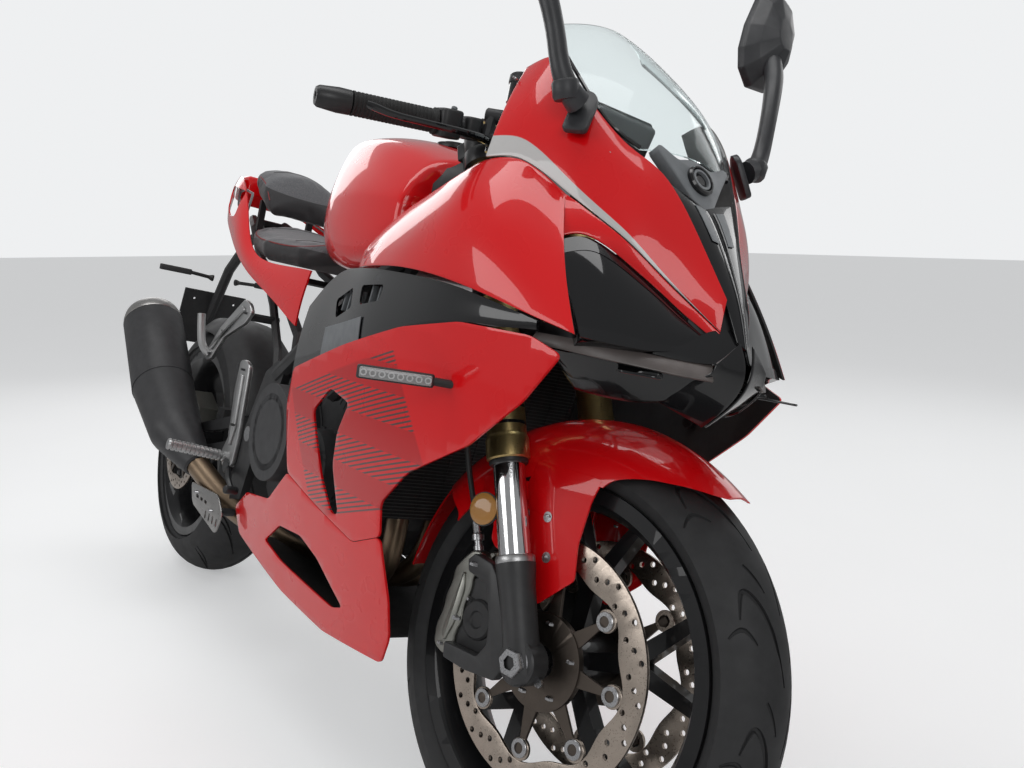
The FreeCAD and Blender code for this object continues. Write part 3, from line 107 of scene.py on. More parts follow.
class Finish:
    """A material being built: shortcuts for its nodes."""

    def __init__(self, name, colour, rough, metal=0.0):
        self.material = bpy.data.materials.new(name)
        self.material.use_nodes = True
        self.nodes = self.material.node_tree.nodes
        self.links = self.material.node_tree.links
        self.shader = self.nodes["Principled BSDF"]
        self.set("Base Color", (*colour, 1))
        self.set("Roughness", rough)
        self.set("Metallic", metal)
        self.place = self.nodes.new("ShaderNodeTexCoord").outputs["Object"]

    def set(self, socket, value):
        self.shader.inputs[socket].default_value = value

    def join(self, source, node, socket):
        self.links.new(source, node.inputs[socket])

    def noise(self, scale, detail=4, stretch=(1, 1, 1)):
        mapping = self.nodes.new("ShaderNodeMapping")
        mapping.inputs["Scale"].default_value = stretch
        self.join(self.place, mapping, "Vector")
        node = self.nodes.new("ShaderNodeTexNoise")
        node.inputs["Scale"].default_value = scale
        node.inputs["Detail"].default_value = detail
        node.inputs["Roughness"].default_value = 0.5
        self.join(mapping.outputs[0], node, "Vector")
        return node.outputs["Fac"]

    def spread(self, source, low, high, start=0.3, end=0.7):
        """Map a 0 to 1 pattern onto a range."""
        node = self.nodes.new("ShaderNodeMapRange")
        self.join(source, node, "Value")
        for socket, value in (("From Min", start), ("From Max", end), ("To Min", low), ("To Max", high)):
            node.inputs[socket].default_value = value
        return node.outputs[0]

    def vary(self, source, low, high):
        """Colour runs between two colours with a pattern."""
        node = self.nodes.new("ShaderNodeMix")
        node.data_type = "RGBA"
        self.join(source, node, 0)
        node.inputs[6].default_value = (*low, 1)
        node.inputs[7].default_value = (*high, 1)
        self.join(node.outputs[2], self.shader, "Base Color")
        return node

    def over(self, base, mask, colour):
        """Another colour where the mask is 1, over a colour output or a plain colour."""
        node = self.nodes.new("ShaderNodeMix")
        node.data_type = "RGBA"
        self.join(mask, node, 0)
        if isinstance(base, tuple):
            node.inputs[6].default_value = (*base, 1)
        else:
            self.links.new(base, node.inputs[6])
        node.inputs[7].default_value = (*colour, 1)
        self.join(node.outputs[2], self.shader, "Base Color")
        return node.outputs[2]

    def bump(self, source, depth, strength=1.0):
        node = self.nodes.new("ShaderNodeBump")
        node.inputs["Distance"].default_value = depth
        node.inputs["Strength"].default_value = strength
        self.join(source, node, "Height")
        self.join(node.outputs[0], self.shader, "Normal")

    def math(self, kind, first, second=0.0, third=None):
        node = self.nodes.new("ShaderNodeMath")
        node.operation = kind
        values = [first, second] if third is None else [first, second, third]
        for index, value in enumerate(values):
            if isinstance(value, (int, float)):
                node.inputs[index].default_value = value
            else:
                self.links.new(value, node.inputs[index])
        return node.outputs[0]

    def along(self, way, start, matrix):
        """Distance in millimetres along a direction of the bike from a point of the bike."""
        way = Vector(way).normalized()
        start = matrix @ Vector(start)
        way = (matrix.to_3x3() @ way) * 1e6
        node = self.nodes.new("ShaderNodeVectorMath")
        node.operation = "DOT_PRODUCT"
        self.links.new(self.place, node.inputs[0])
        node.inputs[1].default_value = way
        return self.math("SUBTRACT", node.outputs["Value"], way.dot(start))


def coated(name, colour, rough=0.32, coat=1.0):
    finish = Finish(name, colour, rough)
    finish.set("Coat Weight", coat)
    finish.set("Coat Roughness", 0.03)
    finish.set("Specular IOR Level", 0.15)
    finish.bump(finish.noise(900, 2), 0.00002, 0.25)
    finish.links.new(finish.spread(finish.noise(14, 3), rough - 0.05, rough + 0.06),
        finish.shader.inputs["Roughness"])
    return finish


def metal(name, colour, rough, grain=(1, 1, 1), scale=500, depth=0.00003):
    finish = Finish(name, colour, rough, 1.0)
    finish.links.new(finish.spread(finish.noise(scale, 5, grain), rough - 0.08, rough + 0.1),
        finish.shader.inputs["Roughness"])
    finish.bump(finish.noise(scale, 5, grain), depth, 0.4)
    low = tuple(value * 0.86 for value in colour)
    finish.vary(finish.spread(finish.noise(30, 3), 0, 1), low, colour)
    return finish


def plastic(name, colour, rough, depth=0.00008, scale=1400):
    finish = Finish(name, colour, rough)
    finish.bump(finish.noise(scale, 4), depth, 0.5)
    finish.links.new(finish.spread(finish.noise(25, 4), rough - 0.06, rough + 0.08),
        finish.shader.inputs["Roughness"])
    high = tuple(min(1, value * 1.25 + 0.003) for value in colour)
    finish.vary(finish.spread(finish.noise(60, 5), 0, 1), colour, high)
    return finish


RED = (0.76, 0.003, 0.006)
DARK_RED = (0.38, 0.002, 0.005)
finishes = {
    "tyre_rubber": plastic("tyre_rubber", (0.018, 0.018, 0.019), 0.62, 0.00012, 900),
    "wheel_black": coated("wheel_black", (0.012, 0.012, 0.013), 0.34, 0.5),
    "rotor_steel": metal("rotor_steel", (0.48, 0.41, 0.35), 0.32),
    "carrier_black": metal("carrier_black", (0.12, 0.10, 0.085), 0.42),
    "steel_parts": metal("steel_parts", (0.46, 0.46, 0.47), 0.3),
    "fork_charcoal": plastic("fork_charcoal", (0.026, 0.026, 0.027), 0.42),
    "chrome_tube": metal("chrome_tube", (0.78, 0.78, 0.79), 0.07, depth=0.000004),
    "gold_tube": metal("gold_tube", (0.58, 0.43, 0.19), 0.34, (1, 1, 12), 200),
    "black_alloy": plastic("black_alloy", (0.014, 0.014, 0.015), 0.38),
    "grip_rubber": plastic("grip_rubber", (0.014, 0.014, 0.014), 0.75, 0.0002, 500),
    "control_black": plastic("control_black", (0.015, 0.015, 0.016), 0.45),
    "caliper_grey": metal("caliper_grey", (0.34, 0.34, 0.31), 0.36, scale=800, depth=0.00006),
    "hose_black": plastic("hose_black", (0.012, 0.012, 0.012), 0.4),
    "frame_black": plastic("frame_black", (0.016, 0.016, 0.017), 0.45),
    "engine_dark": plastic("engine_dark", (0.035, 0.035, 0.037), 0.5, 0.0002, 700),
    "header_bronze": metal("header_bronze", (0.30, 0.22, 0.15), 0.36),
    "muffler_black": plastic("muffler_black", (0.028, 0.028, 0.030), 0.48, 0.00015, 1200),
    "muffler_steel": metal("muffler_steel", (0.42, 0.41, 0.40), 0.34, (1, 20, 1), 60),
    "chain_steel": metal("chain_steel", (0.13, 0.125, 0.12), 0.4),
    "black_plastic": plastic("black_plastic", (0.020, 0.020, 0.021), 0.55),
    "radiator_black": plastic("radiator_black", (0.012, 0.012, 0.012), 0.5),
    "cap_black": metal("cap_black", (0.05, 0.05, 0.05), 0.4),
    "seat_cover": plastic("seat_cover", (0.055, 0.055, 0.058), 0.62, 0.0002, 900),
    "lamp_red": coated("lamp_red", (0.30, 0.004, 0.006), 0.2),
    "lens_smoked": coated("lens_smoked", (0.004, 0.004, 0.005), 0.12),
    "gloss_black": coated("gloss_black", (0.006, 0.006, 0.007), 0.22),
    "satin_grey": plastic("satin_grey", (0.17, 0.18, 0.19), 0.45),
    "mirror_black": plastic("mirror_black", (0.03, 0.031, 0.034), 0.4),
    "signal_clear": coated("signal_clear", (0.30, 0.30, 0.30), 0.15),
    "cast_silver": metal("cast_silver", (0.52, 0.52, 0.52), 0.36, scale=700, depth=0.00008),
    "red_paint": coated("red_paint", RED, 0.3),
    "reflector_amber": coated("reflector_amber", (0.42, 0.20, 0.05), 0.25),
    "radiator_fin": plastic("radiator_fin", (0.075, 0.075, 0.075), 0.45),
    "seam_red": plastic("seam_red", (0.22, 0.03, 0.03), 0.6),
    "lip_satin": plastic("lip_satin", (0.10, 0.085, 0.08), 0.35),
}
screen = Finish("screen_clear", (0.86, 0.93, 0.93), 0.02)
screen.set("Transmission Weight", 0.96)
screen.set("IOR", 1.15)
screen.bump(screen.noise(40, 2), 0.00002, 0.1)
finishes["screen_clear"] = screen


def uv(piece_finish):
    split = piece_finish.nodes.new("ShaderNodeSeparateXYZ")
    piece_finish.links.new(piece_finish.nodes["Texture Coordinate"].outputs["UV"], split.inputs[0])
    return split.outputs[0], split.outputs[1]


ear_paint = coated("red_paint_striped", RED, 0.3)
along_ear, up_ear = uv(ear_paint)
edge_up = ear_paint.math("SUBTRACT", ear_paint.math("MULTIPLY_ADD", along_ear, -0.20, 0.20), up_ear)
stripe = ear_paint.spread(edge_up, 0, 1, -0.004, 0.004)
ear_paint.over(RED, stripe, (0.60, 0.59, 0.58))

hatch = coated("red_paint_hatched", RED, 0.3)
finishes["red_paint_hatched"] = hatch


def hatched(paint, matrix):
    """Diagonal bands of fine grey lines with darker red patches between them."""
    line = paint.along((-0.30, 0, 1), (1100, 0, 560), matrix)
    across = paint.along((1, 0, 0.62), (1100, 0, 560), matrix)
    lines = paint.math("LESS_THAN", paint.math("FRACT", paint.math("MULTIPLY", line, 1 / 6.4)), 0.42)
    rows = paint.math("FRACT", paint.math("MULTIPLY", paint.math("MULTIPLY_ADD", across, 0.35, line), 1 / 92))
    block = paint.math("LESS_THAN", rows, 0.52)
    window = paint.math("MULTIPLY", paint.spread(across, 0, 1, -190, -186),
        paint.spread(across, 1, 0, 150, 154))
    low = paint.math("MULTIPLY", paint.spread(line, 0, 1, -150, -146), paint.spread(line, 1, 0, 60, 64))
    area = paint.math("MULTIPLY", window, low)
    fine = paint.math("MULTIPLY", paint.math("MULTIPLY", lines, block), area)
    dark = paint.math("MULTIPLY", paint.math("GREATER_THAN", rows, 0.52), area)
    first = paint.over(RED, paint.math("MULTIPLY", dark, 0.55), DARK_RED)
    paint.over(first, paint.math("MULTIPLY", fine, 0.95), (0.07, 0.055, 0.055))


hatched(hatch, BIKE)


def finish(name):
    return finishes[name].material


slot_of = {part["node"]: part["material_slot"] for part in frame["record"]["subparts"]}
for node, obj in frame["nodes"].items():
    obj.data.materials.clear()
    obj.data.materials.append(finish(slot_of[node]))
    weld = obj.modifiers.new("weld", "WELD")
    weld.merge_threshold = 0.00005
    bevel = obj.modifiers.new("bevel", "BEVEL")
    bevel.width = 0.0007
    bevel.segments = 2
    bevel.limit_method = "ANGLE"
    bevel.angle_limit = math.radians(38)

# Making of pieces


def into(bm, name, body, material, place=BIKE, sharp=35, merge=None):
    """Piece from a bmesh drawn in millimetres, set in its place and riding on its body."""
    if merge:
        bmesh.ops.remove_doubles(bm, verts=bm.verts, dist=merge)
    bmesh.ops.recalc_face_normals(bm, faces=bm.faces)
    bmesh.ops.transform(bm, matrix=place, verts=bm.verts)
    for face in bm.faces:
        face.smooth = True
    mesh = bpy.data.meshes.new(name)
    bm.to_mesh(mesh)
    bm.free()
    mesh.set_sharp_from_angle(angle=math.radians(sharp))
    piece = bpy.data.objects.new(name, mesh)
    scene.collection.objects.link(piece)
    mesh.materials.append(finish(material) if isinstance(material, str) else material)
    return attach(piece, body)


def settle(piece, sharp=35):
    """Apply the piece's modifiers to its mesh."""
    bpy.context.view_layer.update()
    whole = bpy.data.meshes.new_from_object(piece.evaluated_get(bpy.context.evaluated_depsgraph_get()))
    piece.modifiers.clear()
    piece.data = whole
    whole.set_sharp_from_angle(angle=math.radians(sharp))
    return piece


def carve(piece, bm, place=BIKE, kind="DIFFERENCE"):
    """Cut a piece with a shape drawn in millimetres, which is then thrown away."""
    bmesh.ops.recalc_face_normals(bm, faces=bm.faces)
    bmesh.ops.transform(bm, matrix=place, verts=bm.verts)
    mesh = bpy.data.meshes.new("tool")
    bm.to_mesh(mesh)
    bm.free()
    tool = bpy.data.objects.new("tool", mesh)
    scene.collection.objects.link(tool)
    cut = piece.modifiers.new("cut", "BOOLEAN")
    cut.operation = kind
    cut.solver = "EXACT"
    cut.object = tool
    settle(piece)
    bpy.data.objects.remove(tool)
    return piece


def taken(piece, place=BIKE):
    """The mesh of a piece, back in millimetres; the piece goes."""
    bm = bmesh.new()
    bm.from_mesh(piece.data)
    bmesh.ops.transform(bm, matrix=place.inverted(), verts=bm.verts)
    bpy.data.objects.remove(piece)
    return bm


def mixed(bm, *others):
    """Add other meshes to bm."""
    for other in others:
        mesh = bpy.data.meshes.new("part")
        other.to_mesh(mesh)
        other.free()
        bm.from_mesh(mesh)
        bpy.data.meshes.remove(mesh)
    return bm


def mirrored(bm):
    """The mesh with its mirror image across y = 0."""
    geometry = bm.verts[:] + bm.edges[:] + bm.faces[:]
    copy = bmesh.ops.duplicate(bm, geom=geometry)["geom"]
    verts = [item for item in copy if isinstance(item, bmesh.types.BMVert)]
    faces = [item for item in copy if isinstance(item, bmesh.types.BMFace)]
    bmesh.ops.scale(bm, vec=(1, -1, 1), verts=verts)
    bmesh.ops.reverse_faces(bm, faces=faces)
    return bm


def one_side(bm, side):
    """The mesh itself, or its mirror image where side is negative."""
    if side < 0:
        bmesh.ops.scale(bm, vec=(1, -1, 1), verts=bm.verts)
        bmesh.ops.reverse_faces(bm, faces=bm.faces)
    return bm


def capped(bm):
    """Close the open ends."""
    bmesh.ops.holes_fill(bm, edges=[edge for edge in bm.edges if edge.is_boundary], sides=0)
    return bm


def aimed(bm, spot, way):
    """Turn a mesh drawn up z to look along way, and set it at a spot."""
    up = Vector((0, 0, 1)).rotation_difference(Vector(way).normalized()).to_matrix().to_4x4()
    bmesh.ops.transform(bm, matrix=Matrix.Translation(spot) @ up, verts=bm.verts)
    return bm


def outline(points, low, high, round_by=0, steps=4, axis="y"):
    """Flat outline pushed out from low to high along an axis, its corners rounded."""
    bm = bmesh.new()
    if axis == "y":
        verts = [bm.verts.new((a, low, b)) for a, b in points]
        push = (0, high - low, 0)
    elif axis == "z":
        verts = [bm.verts.new((a, b, low)) for a, b in points]
        push = (0, 0, high - low)
    else:
        verts = [bm.verts.new((low, a, b)) for a, b in points]
        push = (high - low, 0, 0)
    bm.faces.new(verts)
    if round_by:
        bmesh.ops.bevel(bm, geom=verts, offset=round_by, segments=steps, profile=0.5, affect="VERTICES",
            material=-1, clamp_overlap=True)
    made = bmesh.ops.extrude_face_region(bm, geom=bm.faces[:])["geom"]
    bmesh.ops.translate(bm, vec=push, verts=[item for item in made if isinstance(item, bmesh.types.BMVert)])
    bmesh.ops.recalc_face_normals(bm, faces=bm.faces)
    return bm


def soften(bm, by, steps=2, angle=30):
    """Round the sharp edges."""
    edges = [edge for edge in bm.edges
        if len(edge.link_faces) == 2 and edge.calc_face_angle(0) > math.radians(angle)]
    bmesh.ops.bevel(bm, geom=edges, offset=by, segments=steps, profile=0.5, affect="EDGES", material=-1)
    return bm


def loft(ribs, ring=False):
    """Surface bridged from rib to rib, each a list of points, with a UV map along and across them."""
    bm = bmesh.new()
    last = None
    grid = {}
    for rib in ribs:
        verts = [bm.verts.new(point) for point in rib]
        for index, vert in enumerate(verts):
            grid[vert] = (len(grid) // len(rib) / max(1, len(ribs) - 1), index / (len(rib) - 1))
        pairs = list(zip(verts, verts[1:]))
        if ring:
            pairs.append((verts[-1], verts[0]))
        edges = [bm.edges.new(pair) for pair in pairs]
        if last:
            bmesh.ops.bridge_loops(bm, edges=last + edges)
        last = edges
    layer = bm.loops.layers.uv.new("UVMap")
    for face in bm.faces:
        for corner in face.loops:
            corner[layer].uv = grid[corner.vert]
    return bm


def bowed(low, high, bulge, outward, steps=4):
    """Points from low to high that stand out in the middle."""
    low, high = Vector(low), Vector(high)
    along = (high - low).normalized()
    out = Vector(outward) - along * along.dot(Vector(outward))
    out.normalize()
    share = [step / steps for step in range(steps + 1)]
    return [low.lerp(high, t) + out * bulge * 4 * t * (1 - t) for t in share]


def edge_round(piece, width=0.0006, segments=2, angle=40, sharp=35):
    """Round the sharp edges of a finished piece."""
    edge = piece.modifiers.new("edge", "BEVEL")
    edge.width = width
    edge.segments = segments
    edge.limit_method = "ANGLE"
    edge.angle_limit = math.radians(angle)
    return settle(piece, sharp)


def shell(bm, name, body, material, wall, levels=3, place=BIKE, bevel=True):
    """Smooth panel with a real wall."""
    bmesh.ops.recalc_face_normals(bm, faces=bm.faces)
    piece = into(bm, name, body, material, place)
    smooth = piece.modifiers.new("smooth", "SUBSURF")
    smooth.levels = smooth.render_levels = levels
    smooth.boundary_smooth = "PRESERVE_CORNERS"
    wall_of = piece.modifiers.new("wall", "SOLIDIFY")
    wall_of.thickness = wall / 1000
    wall_of.offset = -1
    settle(piece)
    if bevel:
        edge_round(piece)
    return piece


def facing(bm, way):
    """Turn an open surface so that it looks along way."""
    total = Vector()
    for face in bm.faces:
        total += face.normal * face.calc_area()
    if total.dot(Vector(way)) < 0:
        bmesh.ops.reverse_faces(bm, faces=bm.faces)
    return bm


def round_bar(points, radius, sides=16):
    """Bent round bar through points, as a bmesh in millimetres."""
    curve = bpy.data.curves.new("bar", "CURVE")
    curve.dimensions = "3D"
    line = curve.splines.new("NURBS")
    line.points.add(len(points) - 1)
    for spot, point in zip(line.points, points):
        spot.co = (*point[:3], 1)
        spot.radius = point[3] if len(point) > 3 else 1
    line.order_u = 3
    line.use_endpoint_u = True
    curve.resolution_u = 8
    curve.bevel_depth = radius
    curve.bevel_resolution = max(1, sides // 4 - 1)
    curve.use_fill_caps = True
    holder = bpy.data.objects.new("bar", curve)
    scene.collection.objects.link(holder)
    bpy.context.view_layer.update()
    mesh = bpy.data.meshes.new_from_object(holder.evaluated_get(bpy.context.evaluated_depsgraph_get()))
    bm = bmesh.new()
    bm.from_mesh(mesh)
    bpy.data.objects.remove(holder)
    bpy.data.meshes.remove(mesh)
    bmesh.ops.remove_doubles(bm, verts=bm.verts, dist=0.001)
    return bm


def turned(profile, steps=48, start=(0, 0, 0), way=(0, 1, 0)):
    """Solid of revolution from (distance along, radius) points about a line."""
    bm = bmesh.new()
    verts = [bm.verts.new((radius, 0, along)) for along, radius in profile]
    edges = [bm.edges.new(pair) for pair in zip(verts, verts[1:])]
    bmesh.ops.spin(
        bm, geom=verts + edges, cent=(0, 0, 0), axis=(0, 0, 1), angle=2 * math.pi, steps=steps,
        use_merge=True, use_duplicate=False
    )
    bmesh.ops.remove_doubles(bm, verts=bm.verts, dist=0.0005)
    bmesh.ops.recalc_face_normals(bm, faces=bm.faces)
    return aimed(bm, start, way)


def rod(low, high, radius, steps, start, way):
    """Plain cylinder between two distances along a line."""
    return turned([(low, 0.01), (low, radius), (high, radius), (high, 0.01)], steps, start, way)


def bolt(spot, way, radius=5, height=4, hexagon=True):
    """Button or hex head with a socket, drawn along y and then turned as far as z is from way."""
    socket = radius * 0.42
    bm = turned([(0, 0.01), (0, radius), (height * 0.7, radius), (height, radius * 0.8),
        (height, socket)], 6 if hexagon else 20)
    return aimed(mixed(bm, turned([(height, socket), (height * 0.35, socket), (height * 0.35, 0.01)], 6)),
        spot, way)


def many(name, body, material, pieces, both=False):
    """Several small meshes as one piece."""
    bm = mixed(bmesh.new(), *pieces)
    if both:
        mirrored(bm)
    return into(bm, name, body, material)


def around(bm, count):
    """Repeat a mesh about the y axis."""
    whole = bmesh.new()
    step = 2 * math.pi / count
    mesh = bpy.data.meshes.new("part")
    bm.to_mesh(mesh)
    bm.free()
    for index in range(count):
        mesh.transform(Matrix.Rotation(0 if index == 0 else step, 4, (0, 1, 0)))
        whole.from_mesh(mesh)
    bpy.data.meshes.remove(mesh)
    return whole

# Bodywork panels; ribs are (low end, high end, bulge) in millimetres

SIDE_RIBS = (
    ((540, 148, 180), (540, 194, 740), 10),
    ((700, 156, 180), (700, 216, 740), 12),
    ((850, 160, 180), (850, 236, 740), 13),
    ((975, 159, 180), (975, 245, 740), 13),
    ((1100, 156, 180), (1100, 250, 740), 13),
    ((1210, 148, 180), (1210, 248, 740), 13),
    ((1320, 136, 180), (1320, 238, 740), 12),
    ((1430, 128, 180), (1430, 220, 740), 10),
    ((1540, 120, 180), (1540, 200, 740), 8),
)
TAIL_RIBS = (
    ((672, 150, 658), (694, 148, 764), 3),
    ((640, 153, 668), (660, 149, 766), 4),
    ((560, 158, 700), (560, 150, 768), 6),
    ((420, 164, 740), (420, 158, 775), 6),
    ((340, 162, 772), (336, 152, 836), 8),
    ((280, 158, 800), (266, 140, 905), 10),
    ((205, 148, 836), (196, 130, 948), 10),
    ((130, 136, 868), (130, 118, 975), 10),
    ((40, 104, 906), (40, 92, 984), 7),
    ((-40, 74, 940), (-40, 66, 990), 4),
)
REAR_RIBS = (
    ((985, 196, 771), (985, 190, 800), 0.5),
    ((1035, 210, 772), (1032, 188, 834), 4),
    ((1085, 222, 772), (1080, 186, 862), 7),
    ((1172, 236, 772), (1176, 190, 892), 11),
    ((1232, 240, 769), (1236, 193, 911), 14),
    ((1290, 240, 764), (1292, 197, 925), 16),
    ((1345, 235, 756), (1325, 189, 927), 18),
    ((1400, 226, 746), (1350, 180, 926), 18),
    ((1465, 210, 731), (1385, 166, 908), 14),
    ((1524, 188, 718), (1416, 154, 886), 9),
)
BAND_RIBS = (
    ((1434, 184, 824), (1416, 154, 886), 3),
    ((1446, 164, 835), (1434, 146, 877), 3),
    ((1456, 146, 842), (1450, 137, 866), 2),
    ((1482, 121, 826), (1478, 121, 850), 2),
    ((1502, 100, 808), (1500, 106, 833), 2),
    ((1526, 75, 788), (1523, 79, 808), 1.5),
    ((1546, 52, 767), (1544, 54, 785), 1),
    ((1566, 38, 754), (1565, 38, 768), 1),
    ((1582, 28, 742), (1584, 24, 752), 0.5),
)
EAR_RIBS = (
    ((1292, 198, 927), (1278, 152, 1060), 8),
    ((1320, 191, 929), (1304, 150, 1068), 9),
    ((1347, 182, 928), (1330, 147, 1072), 10),
    ((1384, 168, 910), (1362, 141, 1046), 11),
    ((1417, 154, 888), (1392, 134, 1016), 11),
    ((1451, 137, 868), (1438, 106, 966), 9),
    ((1478, 121, 851), (1460, 86, 950), 8),
    ((1501, 106, 835), (1484, 66, 934), 7),
    ((1523, 79, 809), (1512, 50, 898), 5),
    ((1546, 53, 786), (1540, 34, 852), 4),
    ((1584, 24, 753), (1580, 19, 792), 2),
)


def ribbed(table, outward, steps=4):
    return facing(loft([bowed(low, high, bulge, outward, steps) for low, high, bulge in table]), outward)


# Side fairing and belly pan

VENT = [(1040, 582), (1105, 569), (1072, 520), (1062, 470), (1084, 400), (1060, 396), (1024, 440),
    (996, 500), (979, 540)]
SIDE_EDGE = [
    (879, 593), (1072, 650), (1231, 691), (1352, 710), (1472, 708), (1520, 692), (1470, 632), (1386, 564),
    (1267, 503), (1207, 449), (1206, 400.3), (1130, 372.3), (1000, 396.3), (881, 420.3), (860, 530),
]
BELLY_EDGE = [
    (881, 419.3), (1000, 395.3), (1130, 371.3), (1206, 399.3), (1227, 318), (1227, 262), (1204, 218),
    (1023, 200), (853, 210), (617, 246), (584, 290), (658, 335), (788, 353),
]
BELLY_HOLE = [(773, 276), (850, 262), (1060, 250), (1096, 262), (1010, 312), (944, 330), (850, 322)]


def lined(piece):
    """Give the faces that look towards the middle of the bike the bare black of moulded panels."""
    piece.data.materials.append(finish("black_plastic"))
    index = len(piece.data.materials) - 1
    back = BIKE.inverted()
    turn = back.to_3x3()
    for face in piece.data.polygons:
        side = (back @ face.center).y
        look = (turn @ face.normal).normalized()
        if look.y * side < 0 and abs(look.y) > 0.25:
            face.material_index = index
    return piece


def cut_panel(name, edge, hole, material):
    panel = shell(ribbed(SIDE_RIBS, (0, 1, 0)), name, "chassis", material, 3.5, 3, bevel=False)
    carve(panel, outline(edge, 90, 320, 9), kind="INTERSECT")
    carve(panel, outline(hole, 90, 320, 9))
    piece = into(mirrored(taken(panel)), name, "chassis", material, merge=0.02)
    return lined(edge_round(piece, 0.0009))


side_panels = cut_panel("side_panels", SIDE_EDGE, VENT, "red_paint_hatched")
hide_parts("side_fairings")
belly = cut_panel("belly_sides", BELLY_EDGE, BELLY_HOLE, "red_paint")
floor_edge = [(1080, 206), (1023, 202), (853, 212), (640, 243)]
tray = outline(floor_edge + [(x, z + 3.5) for x, z in floor_edge[::-1]], -152, 152)
under_tray = into(soften(tray, 1), "belly_floor", "chassis", "black_plastic")
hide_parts("belly_pan")

# Upper fairing: rear panel, band over the lamp and the ear beside the screen

whole = mixed(bmesh.new(), ribbed(REAR_RIBS, (0.15, 1, 0), 6), ribbed(BAND_RIBS, (0.6, 1, 0), 2))
ear = ribbed(EAR_RIBS, (0.5, 0.8, 0.5), 6)
for face in ear.faces:
    face.material_index = 1
mixed(whole, ear)
upper = shell(mirrored(whole), "upper_panels", "chassis", "red_paint", 3.5, 2)
upper.data.materials.append(ear_paint.material)
lined(upper)
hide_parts("upper_fairing")

# Tank, open under its filler cap

TANK = (
    (600, 812, 80, 88, 905, 66, 1014, 1032),
    (612, 806, 90, 100, 905, 76, 1018, 1038),
    (690, 786, 118, 142, 898, 104, 1014, 1046),
    (760, 776, 136, 156, 900, 115, 1008, 1042),
    (830, 770, 150, 164, 902, 122, 1000, 1034),
    (900, 774, 156, 167, 898, 124, 988, 1020),
    (960, 781.3, 158, 166, 894, 122, 972, 1002),
    (1004, 806, 156, 162, 890, 119, 958, 984),
    (1024, 832, 152, 157, 888, 116, 950, 976),
)


def tank_ring(x, low, low_half, crease_half, crease, shoulder_half, shoulder, top):
    half = [
        (0, low), (low_half * 0.7, low), (low_half, low), (crease_half + 1, (low + crease) / 2),
        (crease_half, crease - 8),
        (crease_half - 1, crease + 4), ((crease_half + shoulder_half) / 2 + 6, (crease + shoulder) / 2),
        (shoulder_half, shoulder),
        (shoulder_half * 0.8, shoulder + (top - shoulder) * 0.45),
        (shoulder_half * 0.4, shoulder + (top - shoulder) * 0.86), (0, top),
    ]
    right = [(-y, z) for y, z in half[-2:0:-1]]
    return [(x, y, z) for y, z in half + right]


tank_mesh = loft([tank_ring(*row) for row in TANK], ring=True)
capped(tank_mesh)
tank = into(tank_mesh, "tank_skin", "chassis", "red_paint", sharp=60)
rounding = tank.modifiers.new("smooth", "SUBSURF")
rounding.levels = rounding.render_levels = 3
settle(tank, 60)
FILLER = (880, 0, 1013)
carve(tank, rod(0, 60, 42, 48, FILLER, (0, 0, 1)))
carve(tank, outline([(900, 1006), (946, 1006), (946, 1060), (900, 1060)], -12, 12))
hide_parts("fuel_tank")

# Tail

tail_side = shell(ribbed(TAIL_RIBS, (0, 1, 0)), "tail_skin", "chassis", "red_paint", 3.5, 3, bevel=False)
GRAB = [(230, 930), (96, 952), (30, 950), (60, 915), (190, 870), (238, 868)]
carve(tail_side, outline(GRAB, 40, 240, 12))
bridge = outline([(-48, 936), (-44, 986), (-30, 991), (36, 992), (40, 946), (10, 920)], -68, 68, 0)
tail_mesh = mixed(mirrored(taken(tail_side)), soften(bridge, 5, 3))
tail = into(tail_mesh, "tail_panels", "chassis", "red_paint", merge=0.02)
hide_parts("tail_fairing")

# Front fender

FENDER = [(324, 0), (322.5, 14), (317, 32), (307, 50), (293, 65), (274, 75), (255, 77.6), (238, 77.8)]
fender_mesh = bmesh.new()
verts = [fender_mesh.verts.new((radius, along, 0)) for radius, along in FENDER]
edges = [fender_mesh.edges.new(two) for two in zip(verts, verts[1:])]
bmesh.ops.rotate(fender_mesh, verts=fender_mesh.verts, cent=(0, 0, 0),
    matrix=Matrix.Rotation(math.radians(-62 + 6), 3, "Y"))
bmesh.ops.spin(fender_mesh, geom=verts + edges, cent=(0, 0, 0), axis=(0, -1, 0), angle=math.radians(118),
    steps=22, use_duplicate=False)
bmesh.ops.translate(fender_mesh, verts=fender_mesh.verts, vec=FRONT_AXLE)
fender_half = shell(facing(fender_mesh, (0, 1, 0.5)), "fender_skin", "steering", "red_paint", 3, 2, FRONT,
    bevel=False)
below = [(1439, 460), (1441, 508), (1448, 530), (1463, 547), (1488, 556), (1518, 562), (1563, 565),
    (1640, 560), (1700, 556), (1700, 200), (1450, 200)]
carve(fender_half, outline(below, 8, 120, 10), FRONT)
carve(fender_half, outline([(1000, 250), (1200, 250), (1222, 440), (1180, 470), (1000, 440)], 34, 120, 8),
    FRONT)
wing = outline([(1332, 512), (1340, 546), (1452, 546), (1442, 514), (1438, 457), (1446, 413), (1396, 366),
    (1382, 371), (1366, 412)], 74.8, 77.8, 5)
flap = outline([(1250, 505), (1262, 470), (1290, 446), (1292, 424), (1304, 414), (1332, 414), (1340, 430),
    (1336, 515)], 74.8, 77.8, 5)
fender_mesh = mirrored(mixed(taken(fender_half, FRONT), soften(wing, 0.8), soften(flap, 0.8)))
fender = into(fender_mesh, "fender", "steering", "red_paint", FRONT, merge=0.02)
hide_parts("front_fender")

# Tyres with cut grooves


